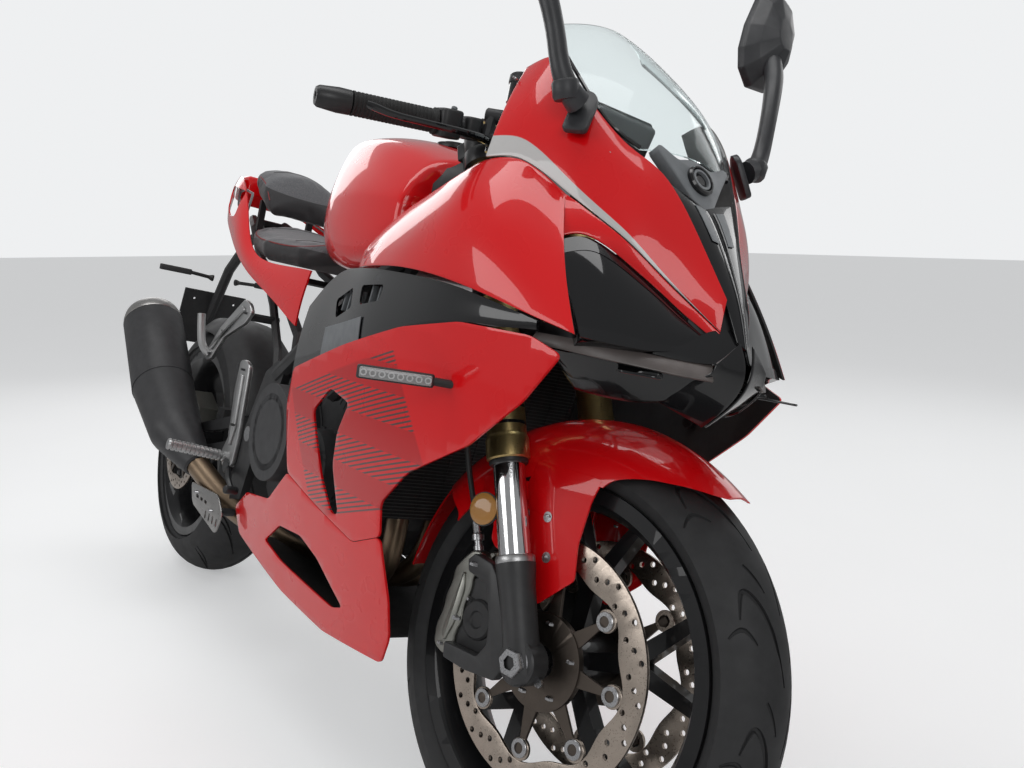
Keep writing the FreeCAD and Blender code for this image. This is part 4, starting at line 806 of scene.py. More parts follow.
def tyre_ring(radius, crown, half_width, steps):
    """Tyre as a closed ring: round crown, side walls with a rim guard and beads."""
    profile = []
    for share in range(-8, 9):
        angle = math.radians(80 * share / 8)
        profile.append((crown * math.sin(angle), radius - crown + crown * math.cos(angle)))
    walls = [(half_width + 10, 242), (half_width + 6, 237), (half_width + 3, 234),
        (half_width - 0.4, 233.2), (half_width - 0.4, 219)]
    rows = [(-along, r) for along, r in walls[::-1]] + profile + walls
    bm = bmesh.new()
    verts = [bm.verts.new((r, along, 0)) for along, r in rows]
    edges = [bm.edges.new(two) for two in zip(verts, verts[1:] + verts[:1])]
    bmesh.ops.spin(bm, geom=verts + edges, cent=(0, 0, 0), axis=(0, 1, 0), angle=2 * math.pi, steps=steps,
        use_merge=True, use_duplicate=False)
    bmesh.ops.remove_doubles(bm, verts=bm.verts, dist=0.01)
    return bm


def groove(radius, crown, path, width, depth):
    """Cutter along the crown: path is (turn about the axle, angle round the crown), both in degrees."""
    points = []
    for turn_by, slant, share in path:
        reach = radius - crown + (crown - depth + 3) * math.cos(math.radians(slant))
        along = (crown - depth + 3) * math.sin(math.radians(slant))
        points.append((reach * math.cos(math.radians(turn_by)), along,
            reach * math.sin(math.radians(turn_by)), share))
    return round_bar(points, width, 8)


FRONT_TREAD = (
    ((0, 5, 0.4), (9, 12, 0.9), (17, 24, 1.1), (21.5, 38, 1.1), (20.5, 46, 0.9), (15, 52, 0.4)),
    ((9, 38, 0.4), (12.5, 46, 0.9), (13, 58, 0.9), (11, 68, 0.4)),
    ((20, 14, 0.4), (24, 20, 0.8), (27, 30, 0.6)),
)


TREAD_BLOCKS, GROOVE_WIDE, GROOVE_DEEP = 12, 3.6, 3.6


def treaded(name, body, radius, crown, half_width, place, patterns):
    piece = into(tyre_ring(radius, crown, half_width, 120), name, body, "tyre_rubber", place, 50)
    for path in patterns:
        cutters = bmesh.new()
        for side in (1, -1):
            turned_by = 0 if side > 0 else 180 / TREAD_BLOCKS
            shifted = [(turn_by + turned_by, slant * side, share) for turn_by, slant, share in path]
            cutter = groove(radius, crown, shifted, GROOVE_WIDE, GROOVE_DEEP)
            mixed(cutters, around(cutter, TREAD_BLOCKS))
        carve(piece, cutters, place)
    return piece


front_tyre = treaded("front_tyre_tread", "front_wheel", 300, 60, 44.5, FRONT_WHEEL, FRONT_TREAD)
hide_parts("front_tyre")
REAR_TREAD = (
    ((0, 6, 0.5), (7, 16, 1.0), (13, 30, 1.2), (17, 46, 1.0), (17, 58, 0.6)),
    ((12, 24, 0.5), (17, 34, 1.0), (20, 48, 0.9), (20, 58, 0.5)),
)
rear_tyre = treaded("rear_tyre_tread", "rear_wheel", 315, 88, 70, REAR_WHEEL, REAR_TREAD)
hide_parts("rear_tyre")

# Brake rotors: scalloped inside, drilled, on floating carriers


SCALLOP, DISC_THICK = 5, 5


def rotor(outer, inner, scallops, holes):
    """Ring about y with a scalloped inner edge, and the drills for its holes."""
    bm = bmesh.new()
    count = scallops * 12
    rims = []
    for radius, wave in ((outer, 0), (inner, SCALLOP)):
        ring = bmesh.ops.create_circle(bm, cap_ends=False, radius=radius, segments=count)["verts"]
        for vert in ring:
            angle = math.atan2(vert.co.y, vert.co.x)
            vert.co *= 1 + wave / radius * math.cos(scallops * angle)
        edges = {edge for vert in ring for edge in vert.link_edges}
        rims.append(list(edges))
    bmesh.ops.bridge_loops(bm, edges=rims[0] + rims[1])
    made = bmesh.ops.extrude_face_region(bm, geom=bm.faces[:])["geom"]
    bmesh.ops.translate(bm, vec=(0, 0, DISC_THICK),
        verts=[item for item in made if isinstance(item, bmesh.types.BMVert)])
    bmesh.ops.translate(bm, vec=(0, 0, -DISC_THICK / 2), verts=bm.verts)
    soften(bm, 0.5, 2, 60)
    bmesh.ops.rotate(bm, verts=bm.verts, cent=(0, 0, 0), matrix=Matrix.Rotation(math.radians(90), 3, "X"))
    drills = bmesh.new()
    for radius, turn_by, size in holes:
        drill = rod(-9, 9, size, 12, (0, 0, 0), (0, 1, 0))
        bmesh.ops.translate(drill, verts=drill.verts,
            vec=(radius * math.cos(turn_by), 0, radius * math.sin(turn_by)))
        mixed(drills, drill)
    return bm, drills


def drill_rows(count, rows):
    holes = []
    for index in range(count):
        for radius, shift, size in rows:
            holes.append((radius, 2 * math.pi * (index + shift) / count, size))
    return holes


def beside(bm, sides):
    """Copies of a mesh at each distance across; the mesh goes."""
    whole = bmesh.new()
    for side in sides:
        copy = bm.copy()
        bmesh.ops.translate(copy, verts=copy.verts, vec=(0, side, 0))
        mixed(whole, copy)
    bm.free()
    return whole


def fitted(name, body, disc, drills, place, sides):
    """Drilled rotor at each side of its wheel."""
    piece = into(disc, name, body, "rotor_steel", place, 40)
    carve(piece, drills, place)
    return into(beside(taken(piece, place), sides), name, body, "rotor_steel", place, 40)


DISC_SIDES = (65, -65)
disc, drills = rotor(160, 124, 8, drill_rows(20, ((152, 0.1, 3.9), (143, 0.42, 3.9), (134, 0.74, 3.9))))
ear_disc = turned([(-2.5, 8.1), (-2.5, 14), (-2, 14.5), (2, 14.5), (2.5, 14), (2.5, 8.1), (-2.5, 8.1)],
    28, (0, 0, 114.5), (0, 1, 0))
front_rotors = fitted("front_rotors", "front_wheel", disc, drills, FRONT_WHEEL, DISC_SIDES)
ears = beside(around(ear_disc, 8), DISC_SIDES)
rotor_ears = into(ears, "front_rotor_ears", "front_wheel", "rotor_steel", FRONT_WHEEL)
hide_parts("front_discs")

bobbins = bmesh.new()
middles = bmesh.new()
for side in DISC_SIDES:
    for step in range(8):
        spot = (113 * math.sin(math.radians(45 * step)), side, 113 * math.cos(math.radians(45 * step)))
        way = math.copysign(1, side)
        mixed(bobbins, turned([(2.6, 8.4), (2.6, 12.5), (4.8, 12.5), (5.6, 11.6), (5.6, 7), (3, 6.6),
            (3, 6)], 28, spot, (0, way, 0)))
        mixed(middles, rod(2, 3.4, 6.8, 24, spot, (0, way, 0)))
bobbin_caps = into(bobbins, "bobbin_caps", "front_wheel", "steel_parts", FRONT_WHEEL)
bobbin_middles = into(middles, "bobbin_middles", "front_wheel", "black_alloy", FRONT_WHEEL)
carrier_bolts = bmesh.new()
for side in DISC_SIDES:
    way = math.copysign(1, side)
    for step in range(5):
        turn_by = math.radians(72 * step)
        mixed(carrier_bolts, bolt((48 * math.sin(turn_by), side + 5 * way, 48 * math.cos(turn_by)),
            (0, way, 0), 6, 4))
carrier_bolt_heads = into(carrier_bolts, "carrier_bolts", "front_wheel", "steel_parts", FRONT_WHEEL)

rear_disc, drills = rotor(120, 92, 6, drill_rows(20, ((113, 0.1, 3), (106, 0.5, 3), (99, 0.9, 2.6))))
rear_rotor = fitted("rear_rotor", "rear_wheel", rear_disc, drills, REAR_WHEEL, (-100,))
hub_plate = turned([(-2, 34.2), (2, 34.2), (2, 70), (-2, 70), (-2, 34.2)], 48, (0, -100, 0))
arms = around(soften(outline([(64, -8), (104, -5), (104, 5), (64, 8)], -102, -98, 0, 3, "y"), 0.5), 6)
rear_carrier = into(mixed(hub_plate, arms), "rear_rotor_carrier", "rear_wheel", "carrier_black", REAR_WHEEL)
teeth = around(soften(outline([(97, -3.4), (104, -1.6), (104, 1.6), (97, 3.4)], 101.5, 106.5, 0, 3, "y"),
    0.6), 45)
plate_ring = turned([(-3, 80), (3, 80), (3, 98), (-3, 98), (-3, 80)], 90, (0, 104, 0))
ribs = around(soften(outline([(33, -9), (84, -7), (84, 7), (33, 9)], 101.5, 106.5, 0, 3, "y"), 0.6), 6)
sprocket = into(mixed(plate_ring, teeth, ribs), "rear_sprocket", "rear_wheel", "chain_steel", REAR_WHEEL)
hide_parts("rear_disc_and_sprocket")

# Headlamps

LENS = (
    ((1524, 180, 716), (1440, 178, 822), 4),
    ((1534, 160, 715), (1450, 161, 832), 6),
    ((1545, 140, 715), (1460, 142, 838), 7),
    ((1552, 122, 715), (1482, 120, 824), 7),
    ((1558, 105, 715), (1504, 98, 805), 6),
    ((1564, 88, 718), (1526, 75, 785), 5),
    ((1568, 72, 722), (1546, 54, 764), 4),
    ((1572, 50, 736), (1570, 40, 746), 1),
)
lens_mesh = ribbed(LENS, (1, 0.2, 0.1), 6)
bmesh.ops.translate(lens_mesh, verts=lens_mesh.verts, vec=(-2, -2, 0.5))
lamp = shell(mirrored(lens_mesh), "lamp_lenses", "chassis", "lens_smoked", 26, 2)
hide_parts("headlights")


def strip(table, outward, low_share, high_share, lift, steps=2):
    """Narrow surface over ribs, between two shares of their height, lifted off it."""
    ribs = []
    for low, high, bulge in table:
        full = bowed(low, high, bulge, outward, 20)
        way = Vector(outward).normalized() * lift
        ribs.append([full[round(20 * (low_share + (high_share - low_share) * step / steps))] + way
            for step in range(steps + 1)])
    return facing(loft(ribs), outward)


inner_low = strip(LENS, (1, 0.2, 0.1), 0.0, 0.10, 0.6, 1)
inner_high = strip(LENS, (1, 0.2, 0.1), 0.86, 1.0, 0.6, 1)
bmesh.ops.translate(inner_low, verts=inner_low.verts, vec=(-2, -2, 0.5))
bmesh.ops.translate(inner_high, verts=inner_high.verts, vec=(-2, -2, 0.5))
frames = shell(mirrored(mixed(inner_low, inner_high)), "lamp_frames", "chassis", "gloss_black", 1.2, 2,
    bevel=False)

# Centre of the nose: keel, badge plate with its round eye, lip and chin

KEEL = (
    ((1488, 58, 922), (1498, 0, 906), 1),
    ((1500, 52, 908), (1508, 0, 898), 2),
    ((1510, 48, 894), (1518, 0, 888), 3),
    ((1533, 37, 861), (1541, 0, 858), 3),
    ((1558, 27, 823), (1566, 0, 820), 2),
    ((1580, 19, 788), (1588, 0, 785), 1),
    ((1600, 11, 745), (1606, 0, 738), 0.5),
)
keel = shell(mirrored(ribbed(KEEL, (1, 0.2, 0.4), 3)), "nose_keel", "chassis", "gloss_black", 3.5, 2)
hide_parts("nose_centre")
grey = strip(KEEL[1:4], (1, 0.2, 0.4), 0.50, 0.80, 0.9, 2)
keel_plane = shell(mirrored(grey), "keel_plane", "chassis", "satin_grey", 0.8, 2, bevel=False)
line = strip(KEEL[1:], (1, 0.2, 0.4), 0.84, 0.88, 1.2, 1)
keel_line = shell(mirrored(line), "keel_line", "chassis", "cast_silver", 0.6, 2, bevel=False)

BADGE_WAY = Vector((0.86, 0, 0.5))
badge = outline([(0, -52), (14, -38), (42, 2), (66, 34), (60, 42), (30, 28), (12, 34), (0, 36), (-12, 34),
    (-30, 28), (-60, 42), (-66, 34), (-42, 2), (-14, -38)], 4, 22, 5, 3, "x")
soften(badge, 2.5, 3, 40)
lean_back = BADGE_WAY.to_track_quat("X", "Z").to_matrix().to_4x4()
bmesh.ops.transform(badge, matrix=Matrix.Translation((1463, 0, 925)) @ lean_back, verts=badge.verts)
badge_plate = into(badge, "badge_plate", "chassis", "satin_grey")
eye = turned([(10, 21), (24, 21), (26.5, 19), (26.5, 17), (22, 15.5), (21.5, 9), (23, 7), (23, 0.01)], 40,
    (1463, 0, 929), BADGE_WAY)
eye_lens = into(eye, "badge_eye", "chassis", "gloss_black")
ring = turned([(25.6, 11.4), (25.6, 14.6), (24, 15.2), (21.5, 15.2), (21.5, 11.2), (25.6, 11.4)], 40,
    (1463, 0, 929), BADGE_WAY)
eye_ring = into(ring, "badge_ring", "chassis", "satin_grey")

LIP = (
    ((1446, 190, 700), (1452, 186, 714), 1),
    ((1495, 182, 699), (1496, 178, 714), 2),
    ((1530, 146, 697), (1526, 138, 714), 2),
    ((1560, 108, 696), (1552, 98, 713), 2),
    ((1588, 70, 695), (1574, 62, 713), 2),
    ((1606, 44, 696), (1590, 34, 716), 1),
)
lip = shell(mirrored(ribbed(LIP, (0.7, 0.6, 0.1), 3)), "chin_lip", "chassis", "lip_satin", 3, 2)
shelf_ribs = [[(low[0] - 2, low[1] - 2, low[2] + 1), (low[0] - 30, low[1] * 0.8, 706),
    (low[0] - 60, low[1] * 0.55, 709)] for low, _, _ in LIP]
shelf = shell(mirrored(facing(loft(shelf_ribs), (0, 0, 1))), "chin_shelf", "chassis", "gloss_black", 3, 2)

CHIN = (
    ((1606, 12, 745), (1606, 44, 716), 1),
    ((1618, 6, 720), (1604, 46, 698), 1),
    ((1616, 4, 690), (1586, 62, 694), 1),
    ((1592, 3, 662), (1566, 66, 678), 1),
    ((1566, 3, 640), (1544, 66, 662), 1),
)
chin_mesh = ribbed(CHIN, (1, 0, -0.2), 3)
chin = shell(mirrored(chin_mesh), "chin", "chassis", "gloss_black", 3, 2)
THROAT = (
    ((1592, 60, 694), (1560, 64, 664)),
    ((1560, 100, 696), (1540, 72, 656)),
    ((1520, 150, 698), (1500, 96, 652)),
    ((1470, 178, 702), (1462, 120, 656)),
)
throat_mesh = facing(loft([bowed(low, high, 2, (0, 1, -1), 3) for low, high in THROAT]), (0, 1, -1))
throat = shell(mirrored(throat_mesh), "throat_sides", "chassis", "gloss_black", 3, 2)
wing = soften(outline([(1556, 88), (1572, 96), (1600, 118), (1596, 128), (1566, 150), (1540, 132),
    (1520, 108)], 686, 689, 3, 2, "z"), 0.8)
stay = soften(outline([(1516, 70), (1560, 66), (1572, 96), (1536, 112)], 688, 693, 2, 2, "z"), 0.8)
winglets = into(mirrored(mixed(wing, stay)), "winglets", "chassis", "gloss_black")

FILL = (
    ((1556, 96, 714), (1552, 97, 722)),
    ((1572, 70, 712), (1566, 72, 724)),
    ((1586, 50, 713), (1571, 50, 740)),
    ((1596, 36, 715), (1576, 36, 752)),
    ((1604, 20, 720), (1584, 18, 757)),
    ((1608, 8, 724), (1590, 6, 758)),
)
fill_mesh = facing(loft([bowed(low, high, 1, (1, 0.3, 0), 2) for low, high in FILL]), (1, 0.3, 0))
fill = shell(mirrored(fill_mesh), "nose_fill", "chassis", "gloss_black", 3, 2, bevel=False)
# Painted shade: matte black backing sheets behind the lens tip and behind the lip stand in for the shadow
# inside the nose
shade_sheet = loft([[(1556, 48, 742), (1546, 44, 792)], [(1568, 34, 748), (1556, 30, 800)],
    [(1578, 16, 754), (1564, 14, 806)], [(1584, 4, 757), (1568, 3, 808)]])
shade_backs = mirrored(facing(shade_sheet, (1, 0.3, 0)))
mixed(shade_backs, mirrored(outline([(1424, 694), (1506, 700), (1508, 722), (1424, 740)], 162, 165, 3)))
nose_shade_backs = shell(shade_backs, "nose_shade_backs", "chassis", "black_plastic", 2, 2, bevel=False)

# Windscreen

SCREEN = (
    ((1236, -84, 1150), (1236, 84, 1150), 30),
    ((1262, -106, 1130), (1262, 106, 1130), 35),
    ((1298, -122, 1100), (1298, 122, 1100), 38),
    ((1334, -128, 1070), (1334, 128, 1070), 41),
    ((1368, -130, 1040), (1368, 130, 1040), 42),
    ((1396, -124, 1010), (1396, 124, 1010), 40),
    ((1420, -111, 982), (1420, 111, 982), 36),
    ((1438, -96, 968), (1438, 96, 968), 26),
    ((1450, -80, 960), (1450, 80, 960), 16),
)
glass = shell(ribbed(SCREEN, (0.86, 0, 0.5), 8), "clear_screen", "chassis", "screen_clear", 3, 2, bevel=False)
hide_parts("windscreen")
side_line = round_bar([(x, y, z + 1) for x, y, z in (row[0] for row in SCREEN)], 2.8, 10)
rim_lines = into(mirrored(side_line), "screen_edge", "chassis", "gloss_black")
screws = many(
    "fairing_screws", "chassis", "steel_parts",
    [bolt((1440, 117, 944), (0.6, 0.7, 0.35), 4.5, 2.2, False),
    bolt((1281, 168, 1040), (0.4, 0.9, 0.2), 4.5, 2.2, False)],
    both=True,
)

# Mirrors

stalk = round_bar([(1411, 158, 996, 1.5), (1411, 174, 1004, 1.3), (1404, 190, 1030, 1.1),
    (1394, 202, 1080, 1.05), (1374, 222, 1140, 1.2), (1352, 240, 1178, 1.35), (1334, 248, 1206, 1.2)], 11,
    20)
foot = turned([(-14, 0.01), (-14, 15), (-10, 17), (6, 17), (9, 15), (9, 0.01)], 32, (1408, 178, 1008),
    (-0.1, 0.3, 1))
pad_plate = soften(outline([(-30, -16), (22, -16), (34, -6), (34, 6), (22, 16), (-30, 16)], 0, 9, 8, 3,
    "z"), 2)
out_way = Vector((0.5, 0.8, 0.5))
seat_turn = out_way.to_track_quat("Z", "X").to_matrix().to_4x4()
bmesh.ops.transform(pad_plate, matrix=Matrix.Translation((1408, 146, 984)) @ seat_turn, verts=pad_plate.verts)
stem = mirrored(mixed(stalk, foot, pad_plate))
mirror_stalks = into(stem, "mirror_stalks", "chassis", "mirror_black")
HEAD_OUTLINE = [(206, 1176), (226, 1152), (268, 1156), (296, 1196), (311, 1262), (298, 1308), (262, 1324),
    (232, 1300), (210, 1246), (202, 1206)]
MIRROR_LEAN, middle = -0.12, Vector((0, 256, 1240))
rings = []
for x, share in ((1300, 0.98), (1304, 1), (1314, 0.98), (1332, 0.74), (1348, 0.32)):
    rings.append([(x + (z - middle.z) * MIRROR_LEAN, middle.y + (y - middle.y) * share,
        middle.z + (z - middle.z) * share) for y, z in HEAD_OUTLINE])
head = loft(rings, ring=True)
capped(head)
mirror_heads = into(mirrored(head), "mirror_heads", "chassis", "mirror_black")
edge_round(mirror_heads, 0.005, 4, 8, 60)
pane_line = [(middle.y + (y - middle.y) * 0.88, middle.z + (z - middle.z) * 0.9) for y, z in HEAD_OUTLINE]
panes = outline(pane_line, 1296.5, 1299.5, 6, 3, "x")
bmesh.ops.transform(panes, matrix=Matrix.Shear("YZ", 4, (0, 0)), verts=panes.verts)
for vert in panes.verts:
    vert.co.x += (vert.co.z - middle.z) * MIRROR_LEAN + 2
mirror_panes = into(mirrored(panes), "mirror_panes", "chassis", "chrome_tube")
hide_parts("mirrors")

# Fork legs, drawn up the leg in fork coordinates: x ahead, y across, z up


def leg_piece(name, material, profile, steps=40):
    """The same turned shape round both legs, from (height, radius) points."""
    both_legs = bmesh.new()
    for side in LEG_SIDES:
        mixed(both_legs, turned(profile, steps, (0, side, 0), (0, 0, 1)))
    return into(both_legs, name, "steering", material, FORK)


def grooves_at(heights, radius):
    """Part of a tube's profile with a shallow groove at each height."""
    depth, half = 0.9, 2
    rows = []
    for spot in heights:
        rows += [(spot - half, radius), (spot - half + 0.4, radius - depth)]
        rows += [(spot + half - 0.4, radius - depth), (spot + half, radius)]
    return rows


tube_low = [(258, 21.6), (258, 27), (260, 29.4), (286, 29.4), (290, 28), (292, 27), (292.8, 27)]
tube_high = [(763.2, 27), (764, 26.4), (764, 22), (764, 21.6)]
tubes = leg_piece("gold_tubes", "gold_tube", tube_low + grooves_at((306, 330, 486), 27) + tube_high)
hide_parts("fork_outer_tubes")
low_bands = leg_piece("tube_bands", "gloss_black",
    [(303.8, 26.3), (303.8, 27.2), (308.2, 27.2), (308.2, 26.3)])
more_bands = leg_piece("tube_band_upper", "gloss_black",
    [(327.8, 26.3), (327.8, 27.2), (332.2, 27.2), (332.2, 26.3)])
wipers = leg_piece("dust_seals", "hose_black",
    [(252, 21.7), (252, 25), (254, 26.4), (258, 26.4), (258, 21.7)])
caps = leg_piece("fork_caps", "black_alloy", [(764, 0.01), (764, 25), (770, 25), (772, 23), (772, 13),
    (778, 13), (778, 0.01)], 6)
inner_tubes = leg_piece("stanchion_tubes", "chrome_tube", [(128, 21.5), (252, 21.5)], 64)
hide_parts("fork_stanchions")
leg_rings = leg_piece("stanchion_rings", "cast_silver",
    [(122, 23.2), (122, 25.6), (124, 26), (130, 26), (132, 24.6), (132, 21.6)])
shanks = leg_piece("fork_feet", "fork_charcoal",
    [(-26, 0.01), (-26, 17), (-22, 21), (-14, 23.4), (60, 23.4), (96, 24), (110, 25.8), (122, 26.4),
    (122, 21.6)])

LUG = [
    (1284, 278), (1288, 258), (1330, 256), (1384, 262), (1396, 286), (1374, 340), (1347, 388), (1334, 400),
    (1300, 404), (1290, 392), (1296, 378), (1332, 372), (1352, 330), (1358, 300), (1346, 280),
]
lugs = bmesh.new()
for side in (1, -1):
    low, high = sorted((side * 94.4, side * 110))
    mixed(lugs, soften(outline(LUG, low, high, 3, 3), 2, 3))
    low, high = sorted((side * 87, side * 119))
    boss = turned([(low, 13.2), (low, 27), (low + 2, 29), (high - 2, 29), (high, 27), (high, 13.2),
        (low, 13.2)], 40, FRONT_AXLE)
    mixed(lugs, boss)
fork_lugs = into(lugs, "caliper_lugs", "steering", "fork_charcoal", FRONT)
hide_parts("fork_bottoms")
ends = bmesh.new()
for side in (1, -1):
    nut = turned([(0, 9.2), (0, 17), (2, 18.5), (11, 18.5), (13, 17), (13, 9.2)], 6,
        (1420, 118 * side, 300), (0, side, 0))
    washer = turned([(0, 9.2), (0, 20.5), (2, 20.5), (2, 9.2)], 40, (1420, 117.2 * side, 300), (0, side, 0))
    mixed(ends, nut, washer)
    mixed(ends, bolt((1447, side * 100, 284), (0.8, 0, -0.5), 6.5, 5))
    mixed(ends, bolt((1440, side * 117, 272), (0.1, side, 0), 5.5, 3))
    for x, z in ((1304, 388), (1296, 312)):
        mixed(ends, bolt((x, side * 110, z), (0, side, 0), 6.5, 5))
axle_ends = into(ends, "axle_nuts", "steering", "steel_parts", FRONT)

# Front calipers: two halves over the rotor, dark core, bridge, pins and bolts

CALIPER = [
    (1303, 388), (1300, 404), (1282, 406), (1270, 394), (1254, 372), (1256, 354), (1250, 330), (1252, 312),
    (1245, 288), (1250, 262), (1272, 254), (1288, 262), (1284, 290), (1291, 306), (1287, 330),
    (1294, 350), (1291, 372),
]
CORE = [
    (1262, 300), (1276, 268), (1304, 260), (1334, 268), (1354, 300), (1354, 342), (1346, 366),
    (1312, 376), (1280, 366),
]
calipers, cores, fittings = (bmesh.new() for _ in range(3))
for side in (1, -1):
    outer = soften(outline(CALIPER, 73.6, 94, 9, 4), 3.5, 4)
    inner = soften(outline(CALIPER, 38, 56.4, 9, 4), 3.5, 4)
    low, high = sorted((side * 76, side * 89))
    core = soften(outline(CORE, low, high, 12, 4), 4, 4)
    mixed(core, turned([(86, 0.01), (86, 28), (91, 27), (93.4, 24), (93.4, 12), (91, 10), (91, 0.01)], 40,
        (1316, 0, 318), (0, side, 0)))
    mixed(cores, core)
    bridge_piece = soften(outline([(1262, 380), (1250, 332), (1246, 286), (1256, 270), (1262, 290),
        (1268, 332), (1276, 364)], 54, 76, 3, 2), 1)
    mixed(outer, soften(outline([(1276, 374), (1268, 330), (1262, 284), (1270, 272), (1280, 300),
        (1284, 350)], 92, 97, 5, 3), 2, 3))
    whole = mixed(outer, inner, bridge_piece)
    mixed(calipers, one_side(whole, side))
    for x, z in ((1290, 394), (1264, 266)):
        mixed(fittings, bolt((x, 94 * side, z), (0, side, 0), 5.5, 4))
    pin = turned([(-2, 0.01), (-2, 3), (60, 3), (62, 2), (62, 0.01)], 16, (1296, 36 * side, 340),
        (0, side, 0))
    mixed(fittings, pin)
caliper_shells = into(calipers, "caliper_shells", "steering", "caliper_grey", FRONT)
caliper_cores = into(cores, "caliper_cores", "steering", "control_black", FRONT)
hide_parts("front_calipers")
union = bmesh.new()
for side in (80, -80):
    mixed(union, turned([(150, 0.01), (150, 7), (158, 7), (158, 5.5), (166, 5.5), (166, 8.5), (174, 8.5),
        (176, 7), (176, 0.01)], 24, (-87, side, 0), (0, 0, 1)))
unions = into(union, "hose_unions", "steering", "steel_parts", FORK)
caliper_bolts = into(fittings, "caliper_bolts", "steering", "steel_parts", FRONT)

# Brake hoses: each on the route's own smooth line, from its caliper's union to the lower yoke


def smooth_line(points, place):
    """Points in the row frame along the smooth curve through a route."""
    curve = bpy.data.curves.new("line", "CURVE")
    curve.dimensions = "3D"
    line = curve.splines.new("NURBS")
    line.points.add(len(points) - 1)
    for spot, point in zip(line.points, points):
        spot.co = (*point, 1)
    line.order_u = 3
    line.use_endpoint_u = True
    curve.resolution_u = 8
    holder = bpy.data.objects.new("line", curve)
    scene.collection.objects.link(holder)
    bpy.context.view_layer.update()
    mesh = bpy.data.meshes.new_from_object(holder)
    path = [place @ vert.co for vert in mesh.vertices]
    bpy.data.objects.remove(holder)
    bpy.data.meshes.remove(mesh)
    return path


ROUTE = (
    (177.2, 80, -87), (216, 92, -80), (262, 118, -62), (315, 138, -42),
    (375, 147, -28), (435, 142, -18), (491.2, 133, -14),
)
for side, name in ((1, "left_brake_hose"), (-1, "right_brake_hose")):
    route = [(ahead, across * side, up) for up, across, ahead in ROUTE]
    hose = into(round_bar(route, 4, 16), name, "steering", "hose_black", FORK)
    path = smooth_line(route, FORK)
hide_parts("brake_hoses")
collars = bmesh.new()
for side in (1, -1):
    for near, far in ((0, 1), (-1, -2)):
        start = Vector((ROUTE[near][2], ROUTE[near][1] * side, ROUTE[near][0]))
        way = Vector((ROUTE[far][2], ROUTE[far][1] * side, ROUTE[far][0])) - start
        mixed(collars, turned([(0, 4.2), (0, 6), (18, 6), (20, 5), (26, 5), (27, 4.2)], 20, start, way))
hose_collars = into(collars, "hose_collars", "steering", "steel_parts", FORK)

# Fender bolts and the round reflectors

bolts = bmesh.new()
for side in (1, -1):
    for x, z in ((1380, 478), (1394, 428), (1312, 432)):
        mixed(bolts, bolt((x, 77.6 * side, z), (0, side, 0), 5, 3, False))
        mixed(bolts, rod(0, 1, 7, 24, (x, 77.6 * side, z), (0, side, 0)))
fender_bolts = into(bolts, "fender_bolts", "steering", "steel_parts", FRONT)
reflect = bmesh.new()
backing = bmesh.new()
for side in (1, -1):
    way = Vector((0.15, side, 0.05))
    spot = Vector((1310, 124 * side, 466))
    mixed(reflect, turned([(0, 0.01), (0, 21), (3.4, 21), (5, 18.5), (6, 10), (6.2, 0.01)], 40, spot, way))
    mixed(backing, turned([(-6, 0.01), (-6, 19), (-1, 22.5), (2, 22.5), (2, 21.1), (-0.5, 21.1),
        (-0.5, 0.01)], 40, spot, way))
    mixed(backing, round_bar([(1316, 112 * side, 466), (1340, 100 * side, 470), (1352, 84 * side, 476)],
        5, 12))
into(reflect, "round_reflectors", "steering", "reflector_amber", FRONT)
holders = into(backing, "reflector_holders", "steering", "control_black", FRONT)

# Bars, grips, levers and switches, in the steered bike's millimetres

BAR_IN = Vector((1150, 128, 981))
BAR_WAY = (Vector((1062, 352, 944)) - BAR_IN).normalized()


def on_bar(distance):
    return BAR_IN + BAR_WAY * distance


def placed(bm, spot, ahead, up):
    """A mesh drawn about the middle, turned so that its x looks ahead and its z up, and set at a spot."""
    ahead, up = Vector(ahead).normalized(), Vector(up).normalized()
    left = up.cross(ahead).normalized()
    turn = Matrix((ahead, left, ahead.cross(left))).transposed().to_4x4()
    bmesh.ops.transform(bm, matrix=Matrix.Translation(spot) @ turn, verts=bm.verts)
    return bm


def slab(long, wide, thick, round_by, soft, steps=3):
    """Rounded block about the middle."""
    corners = [(-long / 2, -wide / 2), (long / 2, -wide / 2), (long / 2, wide / 2), (-long / 2, wide / 2)]
    return soften(outline(corners, -thick / 2, thick / 2, round_by, 4, "z"), soft, steps)


